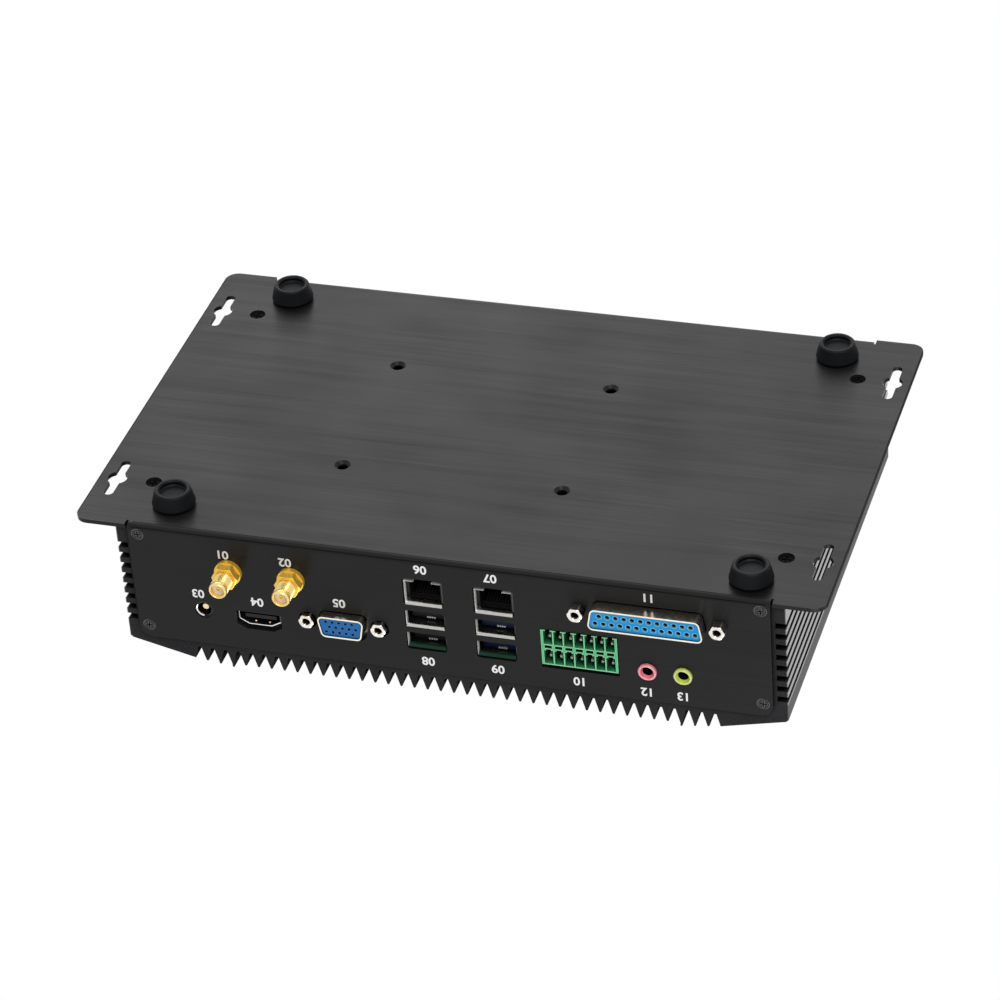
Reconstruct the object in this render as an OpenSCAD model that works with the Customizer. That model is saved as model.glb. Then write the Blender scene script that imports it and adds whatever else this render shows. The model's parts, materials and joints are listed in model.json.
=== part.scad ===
// Fanless box computer without memory or drive, standing on its feet.
// A folded base pan carries both end panels and the mounting ears.
// A finned extrusion is the cover and the heat sink.
// Z = 0 is the floor, the connector panel faces +Y, and the origin is under the middle of the bounding box.

/* [Base pan] */
// Width of the base plate across its mounting ears
base_w = 255; // [252:1:262]
// How far the case sits off the plate's middle
case_shift = 0.5; // [0:0.1:1]
// Depth between the outer faces of the two end panels
base_d = 156; // [152:1:164]
// Thickness of the folded sheet
sheet_t = 1.5; // [1.3:0.1:1.6]
// Outer radius of the two folds
bend_r = 2; // [1.8:0.1:2.2]
// Corner radius of the ears
ear_r = 4.5; // [2:0.5:6]
// Width of each end panel
panel_w = 218; // [216:1:220]
// Height of each end panel above the plate's outer face
panel_h = 45.5; // [44.9:0.1:46]
// Radius of the end panels' upper corners
panel_r = 4; // [2:0.5:6]
// Width of the relief slit beside each fold
relief_w = 0.9; // [0.6:0.1:1.2]
// Length of the relief slit from the ear's edge
relief_d = 2.6; // [2.4:0.1:3.4]

/* [Drive mounting holes] */
// Hole spacing along the drive
drive_pitch_x = 76.6; // [70:0.1:80]
// Hole spacing across the drive
drive_pitch_y = 61.72; // [58:0.01:64]
// Place of the hole pattern along X
drive_x = -10.9; // [-20:0.1:20]
// Radius of the straight part of each hole
drive_hole_r = 1.75; // [1.6:0.05:1.9]
// Radius of the countersink at the outer face
drive_rim_r = 2.8; // [2.4:0.1:3.2]
// Length of the straight part of each hole
drive_land = 0.6; // [0.4:0.1:0.8]

/* [Keyholes] */
// Distance from the plate's side edge to the keyholes' middle
key_margin = 6.3; // [5.6:0.1:8]
// Place of the keyholes along Y
key_y = 53; // [46:1:58]
// Slot width
key_slot_w = 3.4; // [3:0.1:4]
// Slot length, end to end
key_slot_len = 20; // [16:0.5:24]
// Radius of the round opening in the middle
key_round_r = 3.45; // [3:0.05:3.8]

/* [Base screws] */
// Place of the base screws along X
base_screw_x = 108.6; // [107.8:0.1:109]
// Place of the base screws along Y
base_screw_y = 53; // [46:1:58]
// Head radius
base_head_r = 2.7; // [2.5:0.1:2.9]
// Shank radius
base_shank_r = 1.5; // [1.25:0.05:1.6]
// How deep the head lies below the plate's face
base_head_sink = 0.7; // [0.4:0.1:0.8]
// Length from the plate's face to the tip
base_screw_len = 7.2; // [6:0.2:7.4]

/* [Panel screws] */
// Place of the panel screws along X
panel_screw_x = 105.8; // [104.8:0.1:106]
// Height of the lower screws above the plate's outer face
panel_screw_low = 3.8; // [3.5:0.1:4.5]
// Height of the upper screws above the plate's outer face
panel_screw_high = 41; // [39.5:0.1:41.2]
// Head radius
panel_head_r = 2.1; // [2:0.1:2.3]
// Shank radius
panel_shank_r = 1.25; // [1:0.05:1.4]
// How deep the head lies below the panel's face
panel_head_sink = 0.2; // [0.1:0.05:0.3]
// Length from the panel's face to the tip
panel_screw_len = 9; // [7:0.5:12]

/* [Feet] */
// Height of a foot
foot_h = 6.2; // [5:0.1:8]
// Radius where a foot meets the plate
foot_base_r = 7; // [6.6:0.1:7.2]
// Greatest radius
foot_wide_r = 7.35; // [7.2:0.05:7.8]
// Outer radius of the rim that stands on the floor
foot_rim_r = 6.2; // [5.6:0.1:6.6]
// Radius of the hollow in the rim
foot_hollow_r = 4.5; // [3.5:0.1:5]
// Depth of the hollow
foot_hollow_d = 1.9; // [1:0.1:3]
// Nominal distance from the plate's side edge to the feet's middle
foot_inset = 28.5; // [28.5:0.5:36]
// Nominal place of the feet along Y
foot_y = 65; // [60:1:66]

/* [Cover extrusion] */
// Width across the side fins
cover_w = 227.6; // [227:0.1:229]
// Height of the side's upper edge above the plate's outer face
shoulder_low = 48.2; // [47.6:0.2:49]
// Height of the sloped shoulder at its inner end
shoulder_high = 53.5; // [52.8:0.1:54]
// Height of the flat field of fins
fin_h = 54.2; // [53.5:0.1:55]
// Height of the tallest fin beside the shoulder
crest_h = 55.5; // [55.1:0.1:56.5]
// Height of the groove bottoms
fin_root_h = 48.75; // [48:0.05:49.5]
// Distance from fin to fin
fin_pitch = 4.57; // [4.5:0.01:4.6]
// Width of a fin's tip
fin_tip_w = 0.6; // [0.4:0.1:0.8]
// Width of a groove's bottom
groove_root_w = 1.1; // [0.8:0.1:1.4]
// Number of fins, an odd number
fin_count = 39; // [37:2:39]
// Fins at each end that rise with the shoulder
crest_count = 3; // [1:1:5]
// Height of the inner roof above the plate's outer face
roof_h = 44; // [43.4:0.1:44.4]
// Thickness of the side walls, fins included
side_t = 6.8; // [6:0.1:7.6]
// Number of grooves in each side
side_groove_count = 8; // [4:1:8]
// Distance from side groove to side groove
side_groove_pitch = 4.2; // [4:0.05:4.25]
// Height of a side groove
side_groove_h = 2.1; // [1.6:0.1:2.4]
// Depth of a side groove
side_groove_d = 3.6; // [3:0.1:4]
// Height of the lowest side groove's middle
side_groove_first = 9.75; // [9.7:0.05:10]
// Width of the foot and corner blocks that take the screws
block_w = 12.5; // [12:0.1:13]
// Height of the foot block above the plate's outer face
foot_block_h = 8.6; // [8.4:0.1:9.4]
// Height of the corner block below the roof
corner_block_h = 7; // [6.4:0.1:7]
// Cut at the two upper corners
corner_cut = 0.9; // [0.4:0.1:1.4]

/* [Antenna jacks] */
// Places of the two jacks along X
antenna_x = [-74.6, -52.7];
// Height of the jacks above the plate's outer face
antenna_h = 14.3; // [13:0.1:16]
// Barrel radius
antenna_r = 3.17; // [3:0.01:3.3]
// How far the barrel stands out of the panel
antenna_reach = 11.5; // [10.5:0.1:14]
// Height of the barrel's middle above its flat
antenna_flat = 2.8; // [2.5:0.1:3]
// Width across the flats of the nut
antenna_nut_w = 8; // [7.6:0.1:8.4]
// Thickness of the nut
antenna_nut_t = 3.2; // [2.6:0.1:3.4]
// Radius of the washer
antenna_washer_r = 4.6; // [4.4:0.1:5]
// Thickness of the washer
antenna_washer_t = 1.5; // [1:0.1:1.7]

/* [Power inlet and video port] */
// Place of the power inlet along X
inlet_x = -85.2; // [-86:0.1:-84.4]
// Distance from the board down to the middle of the power inlet
inlet_drop = 4.1; // [3.9:0.1:4.8]
// Radius of the inlet's ring
inlet_ring_r = 3.2; // [3.1:0.1:3.4]
// Radius of the inlet's bore
inlet_bore_r = 2.85; // [2.8:0.05:2.9]
// Inner radius of the inlet's metal sleeve
inlet_sleeve_r = 2.5; // [2.4:0.05:2.6]
// Radius of the inlet's pin
inlet_pin_r = 1.05; // [1:0.05:1.25]
// Place of the video port along X
video_x = -65.8; // [-66.6:0.1:-65]
// Width of the video port's mouth
video_mouth_w = 14.1; // [14:0.1:14.4]
// Height of the video port's mouth
video_mouth_h = 4.6; // [4.5:0.1:4.8]

/* [D-shaped connectors] */
// Place of the small connector along X
vga_x = -35.9; // [-36.5:0.1:-34.5]
// Height of the small connector
vga_h = 29.7; // [29.6:0.05:29.9]
// Width of the small connector's shell on its long side
vga_long = 16.5; // [16.2:0.1:16.7]
// Distance between the small connector's hexagon posts
vga_post_pitch = 24.99; // [24.8:0.01:25.2]
// How far the small connector's shell stands out
vga_reach = 3.4; // [3:0.1:4]
// How far the small connector's posts stand out
vga_post_reach = 2.2; // [1.6:0.1:2.6]
// Place of the wide connector along X
lpt_x = 68.8; // [68:0.1:69.5]
// Height of the wide connector
lpt_h = 11.6; // [11.2:0.1:12]
// Width of the wide connector's shell on its long side
lpt_long = 38.7; // [38.3:0.1:38.9]
// Distance between the wide connector's hexagon posts
lpt_post_pitch = 47.04; // [46.8:0.01:47.2]
// How far the wide connector's shell stands out
lpt_reach = 5.1; // [4.6:0.1:5.4]
// How far the wide connector's posts stand out
lpt_post_reach = 4.3; // [3.8:0.1:5]
// Height of both shells
d_shell_h = 8.2; // [8:0.1:8.4]
// Thickness of both shells
d_shell_t = 0.6; // [0.4:0.05:0.7]
// Corner radius of both shells
d_corner_r = 1.9; // [1.4:0.1:2.2]
// Lean of the shells' short sides, in degrees
d_lean = 10; // [8:0.5:12]
// Width across the flats of the hexagon posts
post_w = 4.9; // [4.7:0.1:5.1]
// Radius of the thread bore in the hexagon posts
post_bore_r = 1.3; // [1.1:0.05:1.4]

/* [Network and data stacks] */
// Places of the two stacks along X
stack_x = [-7.4, 16.6];
// Width of a stack's metal shell
stack_w = 16.2; // [15.8:0.1:16.6]
// Depth of a stack's metal shell
stack_d = 21; // [18:0.5:24]
// Height of the network socket's middle
lan_h = 13.8; // [13.6:0.05:14]
// Width of the network socket
lan_w = 12; // [11.8:0.1:12.4]
// Height of the network socket
lan_open_h = 8.4; // [8.2:0.1:8.6]
// Width of the latch notch
lan_notch_w = 6.2; // [6:0.1:6.6]
// Depth of the latch notch below the socket
lan_notch_h = 1.3; // [1:0.1:1.6]
// Heights of the two data ports' middles
usb_h = [24.2, 33];
// Width of a data port's mouth
usb_w = 12.5; // [12.3:0.1:12.8]
// Height of a data port's mouth
usb_open_h = 4.9; // [4.8:0.1:5]

/* [Terminal header] */
// Place of the terminal header along X
header_x = 45; // [44.4:0.1:45.6]
// Distance from pole to pole
header_pitch = 3.5; // [3.5:0.01:3.55]
// Number of poles in a row
header_poles = 7; // [4:1:7]
// Heights of the two pin rows
header_row_h = [24.8, 32.65];
// Lower face of the header above the plate's outer face
header_low = 21.8; // [21.6:0.05:21.9]
// Depth of the header
header_d = 12; // [10:0.5:13]

/* [Audio jacks] */
// Places of the two jacks along X
audio_x = [67.6, 79.5];
// Height of the jacks
audio_h = 33.5; // [33.4:0.05:33.6]
// Radius of the coloured nose
audio_nose_r = 3.1; // [3:0.05:3.2]
// Radius of the bore
audio_bore_r = 1.8; // [1.75:0.05:1.9]
// How far the nose stands out
audio_reach = 1.2; // [0.8:0.1:1.4]

/* [Main board] */
// Height of the board's lower face above the plate's outer face
board_h = 35.7; // [35.7:0.1:35.9]
// Board thickness
board_t = 1.6; // [1.4:0.1:1.8]
// Board width
board_w = 192; // [190:1:194]
// Board depth
board_d = 132; // [130:1:136]
// Distance from the rear panel's outer face to the board's edge
board_edge = 2; // [1.9:0.1:2.3]

/* [Power button] */
// Place of the power button along X
button_x = 72; // [60:1:84]
// Height of the power button and the status lenses
front_h = 24; // [20:1:28]
// Radius of the button's cap
button_r = 4.9; // [4:0.1:5.5]
// How far the cap stands out at rest
button_proud = 1.4; // [1:0.1:2]
// Travel of the button
button_travel = 1.2; // [0.8:0.1:1.4]
// Distance from the button to the first lens, and from lens to lens
lens_step = 11; // [10.5:0.5:13]
// Radius of a lens
lens_r = 1.5; // [1.2:0.1:2]

/* [Hidden] */

// Overrun of every cut past the face that it leaves
cut = 1;
// Gap round a screw in its thread
thread_gap = 0.05;
// Gap round a screw in its hole
screw_gap = 0.1;
// Gap round a piece that passes through the panel
pass_gap = 0.15;
// Gap round an insert in its shell
insert_gap = 0.1;
// Straight length of a screw hole under its countersink
hole_land = 0.1;
// Facets of a full circle
$fn = 48;
arc_steps = 6;

// The case's own frame has its origin on the plate's outer face, midway between the panels
front_reach = button_proud;
case_y = (front_reach - antenna_reach) / 2;
cover_d = base_d - 2 * sheet_t;
half_w = cover_w / 2;
key_x = base_w / 2 - key_margin;
foot_x = base_w / 2 - foot_inset;
inlet_h = board_h - inlet_drop;
side_floor = sheet_t;
fin_half = (fin_count - 1) / 2;
shoulder_x = (fin_half + 1) * fin_pitch - fin_tip_w / 2;
crest_x = (fin_half - crest_count + 0.5) * fin_pitch;
block_x = half_w - block_w;
corner_block_low = roof_h - corner_block_h;
board_top = board_h + board_t;
block_chamfer = 1.5;
crest_flat = 2.1;
panel_screw_xs = [-panel_screw_x, panel_screw_x];
panel_screw_hs = [panel_screw_low, panel_screw_high];

// How far each stuck-on foot sits off its nominal place
foot_nudge = [[0, -0.5], [0.4, 0.1], [2.1, -1.3], [1.9, 1.7]];
foot_edge_h = 1.2;
foot_round = 0.5;

// Cross recess of the screws
recess_len_share = 1.25;
recess_t_share = 0.28;
recess_d_share = 0.6;

function arc(centre, r, from, to) =
    [for (i = [0 : arc_steps]) let (a = from + (to - from) * i / arc_steps) centre + r * [cos(a), sin(a)]];

module in_case() {
    translate([case_shift, case_y, foot_h]) children();
}

// Local Z runs from the panel's outer face into the case
module rear_at(x, h) {
    translate([x, base_d / 2, h]) rotate([90, 0, 0]) children();
}

module front_at(x, h) {
    translate([x, -base_d / 2, h]) rotate([90, 0, 180]) children();
}

module at_corners(x, y) {
    for (sx = [-1, 1], sy = [-1, 1]) translate([sx * x, sy * y, 0]) children();
}

module box(w, h, d) {
    translate([-w / 2, -h / 2, 0]) cube([w, h, d]);
}

module rounded_plate(w, h, r) {
    polygon(concat(
        arc([w / 2 - r, h / 2 - r], r, 0, 90), arc([r - w / 2, h / 2 - r], r, 90, 180),
        arc([r - w / 2, r - h / 2], r, 180, 270), arc([w / 2 - r, r - h / 2], r, 270, 360)));
}

// Rounded trapezoid with its long side up
module d_outline(long, h, r) {
    reach = cos(d_lean) * long / 2 - sin(d_lean) * h / 2;
    top_x = (reach - r + sin(d_lean) * (h / 2 - r)) / cos(d_lean);
    low_x = (reach - r - sin(d_lean) * (h / 2 - r)) / cos(d_lean);
    polygon(concat(
        arc([low_x, r - h / 2], r, -90, -d_lean), arc([top_x, h / 2 - r], r, -d_lean, 90),
        arc([-top_x, h / 2 - r], r, 90, 180 + d_lean), arc([-low_x, r - h / 2], r, 180 + d_lean, 270)));
}

// The head lies below the face in a straight bore and seats on the cone that hole and screw share
module sunk_hole(head_r, shank_r, sink, cone_end, gap, depth) {
    slope = (head_r - shank_r) / (cone_end - sink);
    neck_h = cone_end - sink - gap / slope;
    translate([0, 0, -cut]) cylinder(r = head_r + gap, h = sink + cut);
    translate([0, 0, sink]) cylinder(r1 = head_r, r2 = shank_r + gap, h = neck_h);
    translate([0, 0, -cut]) cylinder(r = shank_r + gap, h = depth + 2 * cut);
}

module sunk_screw(head_r, shank_r, sink, cone_end, len) {
    difference() {
        union() {
            translate([0, 0, sink]) cylinder(r1 = head_r, r2 = shank_r, h = cone_end - sink);
            translate([0, 0, cone_end]) cylinder(r = shank_r, h = len - cone_end);
        }
        cross_recess(head_r, sink, cone_end - sink);
    }
}

module cross_recess(head_r, top, head_t) {
    for (turn = [0, 90]) rotate([0, 0, turn]) translate([0, 0, top - cut])
        box(head_r * recess_len_share, head_r * recess_t_share, head_t * recess_d_share + cut);
}

// Fixed pan

base_cone_end = sheet_t - hole_land;
panel_cone_end = sheet_t - hole_land;

module plate_outline() {
    fold_y = base_d / 2 - bend_r;
    difference() {
        translate([-case_shift, 0]) rounded_plate(base_w, base_d, ear_r);
        for (sy = [-1, 1]) translate([0, sy * (fold_y + bend_r / 2 + cut / 2)])
            square([panel_w + 2 * relief_w, bend_r + cut], center = true);
        for (sx = [-1, 1], sy = [-1, 1])
            translate([sx * (panel_w + relief_w) / 2, sy * (base_d - relief_d + cut) / 2])
                square([relief_w, relief_d + cut], center = true);
    }
}

module keyhole() {
    straight = key_slot_len - key_slot_w;
    translate([0, 0, -cut]) {
        cylinder(r = key_round_r, h = sheet_t + 2 * cut);
        box(key_slot_w, straight, sheet_t + 2 * cut);
        for (sy = [-1, 1]) translate([0, sy * straight / 2, 0])
            cylinder(d = key_slot_w, h = sheet_t + 2 * cut);
    }
}

module fold() {
    translate([0, base_d / 2 - bend_r, bend_r]) rotate([90, 0, 90]) linear_extrude(panel_w, center = true)
        difference() {
            circle(r = bend_r);
            circle(r = bend_r - sheet_t);
            translate([-bend_r - cut, -bend_r - cut]) square([bend_r + cut, 2 * (bend_r + cut)]);
            translate([-bend_r - cut, 0]) square([2 * (bend_r + cut), bend_r + cut]);
        }
}

module panel_sheet() {
    linear_extrude(sheet_t) polygon(concat(
        [[-panel_w / 2, bend_r], [panel_w / 2, bend_r]],
        arc([panel_w / 2 - panel_r, panel_h - panel_r], panel_r, 0, 90),
        arc([panel_r - panel_w / 2, panel_h - panel_r], panel_r, 90, 180)));
}

module through_panel() {
    translate([0, 0, -cut]) linear_extrude(sheet_t + 2 * cut) children();
}

module panel_screw_holes() {
    for (x = panel_screw_xs, h = panel_screw_hs) translate([x, h, 0])
        sunk_hole(panel_head_r, panel_shank_r, panel_head_sink, panel_cone_end, screw_gap, sheet_t);
}

// Openings of the rear panel
inlet_hole_gap = 0.15;
video_gap_side = 0.5;
video_gap_up = 0.85;
video_window_rise = 0.65;
video_chamfer_x = 3.2;
video_chamfer_h = 1.8;
vga_window_gap = 1.1;
vga_window_gap_up = 1.4;
vga_window_rise = 1.1;
lpt_window_gap = 0.3;
vga_post_hole_r = 3.3;
vga_post_hole_rise = 0.5;
stud_r = 1.4;
window_r = 1.2;
lan_window_w = 13.8;
lan_window_h = 10.8;
lan_window_drop = 0.5;
usb_window_w = 13.9;
usb_window_h = 7;
usb_window_rise = 0.25;
header_gap = 0.3;
header_window_rise = 1.6;
header_wall = 0.6;
header_w = header_poles * header_pitch + header_wall * 2;
video_shell_t = 0.4;
video_h = board_h - video_mouth_h / 2 - video_shell_t;
video_outer_w = video_mouth_w + 2 * video_shell_t;
video_outer_h = video_mouth_h + 2 * video_shell_t;

module video_outline(grow_side, grow_up) {
    w = video_mouth_w / 2 + grow_side;
    h = video_mouth_h / 2 + grow_up;
    polygon([[-w, -h], [w, -h], [w, h - video_chamfer_h], [w - video_chamfer_x, h],
        [video_chamfer_x - w, h], [-w, h - video_chamfer_h]]);
}

module rear_windows() {
    for (x = antenna_x) rear_at(x, antenna_h) through_panel()
        antenna_section(antenna_r + pass_gap, antenna_flat + pass_gap);
    rear_at(inlet_x, inlet_h) through_panel() circle(r = inlet_ring_r + inlet_hole_gap);
    rear_at(video_x, video_h + video_window_rise) through_panel()
        video_outline(video_shell_t + video_gap_side, video_shell_t + video_gap_up);
    rear_at(vga_x, vga_h + vga_window_rise) mirror([0, 1, 0]) through_panel()
        d_outline(vga_long + 2 * vga_window_gap, d_shell_h + 2 * vga_window_gap_up,
            d_corner_r + vga_window_gap);
    for (sx = [-1, 1]) rear_at(vga_x + sx * vga_post_pitch / 2, vga_h + vga_post_hole_rise)
        through_panel() circle(r = vga_post_hole_r);
    rear_at(lpt_x, lpt_h) through_panel() {
        d_outline(lpt_long + 2 * lpt_window_gap, d_shell_h + 2 * lpt_window_gap, d_corner_r + lpt_window_gap);
        for (sx = [-1, 1]) translate([sx * lpt_post_pitch / 2, 0]) circle(r = stud_r + pass_gap);
    }
    for (x = stack_x) {
        rear_at(x, lan_h - lan_window_drop) through_panel()
            rounded_plate(lan_window_w, lan_window_h, window_r);
        for (h = usb_h) rear_at(x, h + usb_window_rise) through_panel()
            rounded_plate(usb_window_w, usb_window_h, window_r);
    }
    header_window_low = header_low - header_gap;
    header_window_h = board_h + header_window_rise - header_window_low;
    rear_at(header_x, header_window_low + header_window_h / 2) through_panel()
        square([header_w + 2 * header_gap, header_window_h], center = true);
    for (x = audio_x) rear_at(x, audio_h) through_panel() circle(r = audio_nose_r + pass_gap);
}

module front_windows() {
    front_at(button_x, front_h) through_panel() circle(r = button_r + button_gap);
    for (i = [1, 2]) front_at(button_x - i * lens_step, front_h) through_panel()
        circle(r = lens_r + pass_gap);
}

module base_pan() {
    color([0.17, 0.17, 0.18]) in_case() difference() {
        union() {
            linear_extrude(sheet_t) plate_outline();
            for (turn = [0, 180]) rotate([0, 0, turn]) {
                fold();
                rear_at(0, 0) panel_sheet();
            }
        }
        translate([drive_x, 0, 0]) at_corners(drive_pitch_x / 2, drive_pitch_y / 2) drive_hole();
        translate([-case_shift, 0, 0]) at_corners(key_x, key_y) keyhole();
        at_corners(base_screw_x, base_screw_y)
            sunk_hole(base_head_r, base_shank_r, base_head_sink, base_cone_end, screw_gap, sheet_t);
        rear_at(0, 0) panel_screw_holes();
        front_at(0, 0) panel_screw_holes();
        rear_windows();
        front_windows();
    }
}

module drive_hole() {
    cone_h = sheet_t - drive_land;
    slope = (drive_rim_r - drive_hole_r) / cone_h;
    translate([0, 0, -cut]) cylinder(r1 = drive_rim_r + slope * cut, r2 = drive_hole_r, h = cone_h + cut);
    translate([0, 0, -cut]) cylinder(r = drive_hole_r, h = sheet_t + 2 * cut);
}

// Finned cover, drawn as its section across the case

module cover_outline() {
    right = [
        [half_w, side_floor], [half_w, shoulder_low - corner_cut], [half_w - corner_cut, shoulder_low],
        [shoulder_x, shoulder_high], [crest_x + crest_flat, crest_h], [crest_x, crest_h], [crest_x, fin_h]
    ];
    left = [for (i = [len(right) - 1 : -1 : 0]) [-right[i][0], right[i][1]]];
    polygon(concat(right, left));
}

module fin_groove() {
    top_half = (fin_pitch - fin_tip_w) / 2;
    polygon([
        [-groove_root_w / 2, fin_root_h], [groove_root_w / 2, fin_root_h], [top_half, fin_h],
        [top_half, crest_h + cut], [-top_half, crest_h + cut], [-top_half, fin_h]
    ]);
}

module cavity_outline() {
    low = side_floor - cut;
    inner = half_w - side_t;
    right = [
        [block_x, low], [block_x, foot_block_h], [inner, foot_block_h],
            [inner, corner_block_low - block_chamfer],
        [block_x, corner_block_low], [block_x, roof_h]
    ];
    left = [for (i = [len(right) - 1 : -1 : 0]) [-right[i][0], right[i][1]]];
    polygon(concat(right, left));
}

module heatsink_cover() {
    color([0.12, 0.12, 0.13]) in_case() difference() {
        rotate([90, 0, 0]) linear_extrude(cover_d, center = true) difference() {
            cover_outline();
            cavity_outline();
            for (i = [-fin_half - 1 : fin_half]) translate([(i + 0.5) * fin_pitch, 0]) fin_groove();
            for (sx = [-1, 1], i = [0 : side_groove_count - 1])
                translate([sx * half_w, side_groove_first + i * side_groove_pitch])
                    square([2 * side_groove_d, side_groove_h], center = true);
        }
        at_corners(base_screw_x, base_screw_y) translate([0, 0, side_floor - cut])
            cylinder(r = base_shank_r + thread_gap, h = base_screw_len - side_floor + 2 * thread_gap + cut);
        for (x = panel_screw_xs, h = panel_screw_hs) {
            rear_at(x, h) cylinder(r = panel_shank_r + thread_gap, h = panel_screw_len + 2 * thread_gap);
            front_at(x, h) cylinder(r = panel_shank_r + thread_gap, h = panel_screw_len + 2 * thread_gap);
        }
    }
}

module base_screws() {
    color([0.1, 0.1, 0.1]) in_case() at_corners(base_screw_x, base_screw_y)
        sunk_screw(base_head_r, base_shank_r, base_head_sink, base_cone_end, base_screw_len);
}

module panel_screws() {
    color([0.3, 0.3, 0.31]) in_case() for (x = panel_screw_xs, h = panel_screw_hs) {
        rear_at(x, h)
            sunk_screw(panel_head_r, panel_shank_r, panel_head_sink, panel_cone_end, panel_screw_len);
        front_at(x, h)
            sunk_screw(panel_head_r, panel_shank_r, panel_head_sink, panel_cone_end, panel_screw_len);
    }
}

module foot(sx, sy, i) {
    color([0.08, 0.08, 0.09]) translate([sx * foot_x, case_y + sy * foot_y, 0] + foot_nudge[i])
        rotate_extrude() polygon([
            [0, foot_hollow_d], [foot_hollow_r - foot_round, foot_hollow_d],
                [foot_hollow_r, foot_hollow_d - foot_round],
            [foot_hollow_r, foot_round], [foot_hollow_r + foot_round, 0], [foot_rim_r - foot_round, 0],
            [foot_rim_r, foot_round], [foot_wide_r, foot_h - foot_edge_h], [foot_base_r, foot_h], [0, foot_h]
        ]);
}

// Rear connectors

antenna_flange_t = 1.5;
antenna_tail_r = 2;
antenna_tail_len = 6;
antenna_mouth_r = 2.35;
antenna_mouth_d = 2.4;
antenna_pin_r = 0.45;
antenna_groove_r = 2.85;
antenna_root_r = 2.95;
antenna_relief = 0.3;
antenna_stack = antenna_washer_t + antenna_nut_t + antenna_relief;
nut_face_inset = 0.1;
nut_cone = 60;
antenna_groove_w = 0.5;
antenna_collar_len = 2.2;

module antenna_section(r, flat) {
    difference() {
        circle(r = r);
        translate([-r - cut, -r - cut]) square([2 * (r + cut), r + cut - flat]);
    }
}

// Thread outside the nut, thread root inside it
module antenna_jack(i) {
    color([0.83, 0.6, 0.25]) in_case() rear_at(antenna_x[i], antenna_h) difference() {
        union() {
            translate([0, 0, -antenna_reach]) linear_extrude(antenna_reach - antenna_stack)
                antenna_section(antenna_r, antenna_flat);
            translate([0, 0, -antenna_stack]) linear_extrude(antenna_stack + sheet_t)
                antenna_section(antenna_root_r, antenna_flat);
            translate([0, 0, -antenna_reach]) cylinder(r = antenna_r, h = antenna_collar_len);
            translate([0, 0, sheet_t]) cylinder(d = antenna_nut_w, h = antenna_flange_t);
            translate([0, 0, sheet_t + antenna_flange_t]) cylinder(r = antenna_tail_r, h = antenna_tail_len);
        }
        translate([0, 0, -antenna_reach - cut]) cylinder(r = antenna_mouth_r, h = antenna_mouth_d + cut);
        translate([0, 0, antenna_collar_len - antenna_reach]) difference() {
            cylinder(r = antenna_r + cut, h = antenna_groove_w);
            translate([0, 0, -cut]) cylinder(r = antenna_groove_r, h = antenna_groove_w + 2 * cut);
        }
    }
}

module antenna_washers() {
    color([0.85, 0.65, 0.3]) in_case() for (x = antenna_x) rear_at(x, antenna_h)
        translate([0, 0, -antenna_washer_t]) difference() {
            cylinder(r = antenna_washer_r, h = antenna_washer_t);
            translate([0, 0, -cut]) cylinder(r = antenna_r + pass_gap, h = antenna_washer_t + 2 * cut);
        }
}

module antenna_nuts() {
    color([0.85, 0.65, 0.3]) in_case() for (x = antenna_x) rear_at(x, antenna_h)
        translate([0, 0, -antenna_washer_t - antenna_nut_t]) difference() {
            face_r = antenna_nut_w / 2 - nut_face_inset;
            intersection() {
                cylinder(d = antenna_nut_w / cos(30), h = antenna_nut_t, $fn = 6);
                cylinder(r1 = face_r, r2 = face_r + antenna_nut_t * tan(nut_cone), h = antenna_nut_t);
            }
            translate([0, 0, -cut]) cylinder(r = antenna_root_r + thread_gap, h = antenna_nut_t + 2 * cut);
        }
}

// The pin stands in the barrel's mouth on a short collar that fills the bottom of the mouth
module antenna_cores() {
    core_t = antenna_mouth_d / 4;
    pin_len = antenna_mouth_d * 3 / 4;
    color([0.9, 0.88, 0.8]) in_case() for (x = antenna_x) rear_at(x, antenna_h)
        translate([0, 0, antenna_mouth_d - antenna_reach - core_t]) {
            cylinder(r = antenna_mouth_r - thread_gap, h = core_t);
            translate([0, 0, -pin_len / 2]) cylinder(r = antenna_pin_r, h = pin_len / 2 + core_t / 2);
        }
}

inlet_w = 9;
inlet_d = 13;
inlet_low = 27;
inlet_ring_sink = 0.3;
inlet_bore_d = 11;
inlet_pin_start = 2;
inlet_sleeve_sink = 0.6;
inlet_sleeve_len = inlet_bore_d - inlet_sleeve_sink;

module inlet_housing() {
    color([0.1, 0.1, 0.1]) in_case() difference() {
        union() {
            rear_at(inlet_x, inlet_h) translate([0, 0, inlet_ring_sink])
                cylinder(r = inlet_ring_r, h = sheet_t - inlet_ring_sink);
            rear_at(inlet_x, (inlet_low + board_h) / 2) translate([0, 0, sheet_t])
                box(inlet_w, board_h - inlet_low, inlet_d);
        }
        rear_at(inlet_x, inlet_h) translate([0, 0, -cut]) cylinder(r = inlet_bore_r, h = inlet_bore_d + cut);
    }
}

module inlet_sleeve() {
    color([0.8, 0.79, 0.76]) in_case() rear_at(inlet_x, inlet_h)
        translate([0, 0, inlet_sleeve_sink]) difference() {
        cylinder(r = inlet_bore_r - thread_gap, h = inlet_sleeve_len);
        translate([0, 0, -cut]) cylinder(r = inlet_sleeve_r, h = inlet_sleeve_len + 2 * cut);
    }
}

module inlet_pin() {
    color([0.8, 0.8, 0.78]) in_case() rear_at(inlet_x, inlet_h) translate([0, 0, inlet_pin_start])
        cylinder(r = inlet_pin_r, h = inlet_bore_d - inlet_pin_start);
}

video_d = 11;
video_tongue_w = 11;
video_tongue_t = 1.4;
video_tongue_sink = 1;
video_wall = 2;
video_front = 1;

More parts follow.
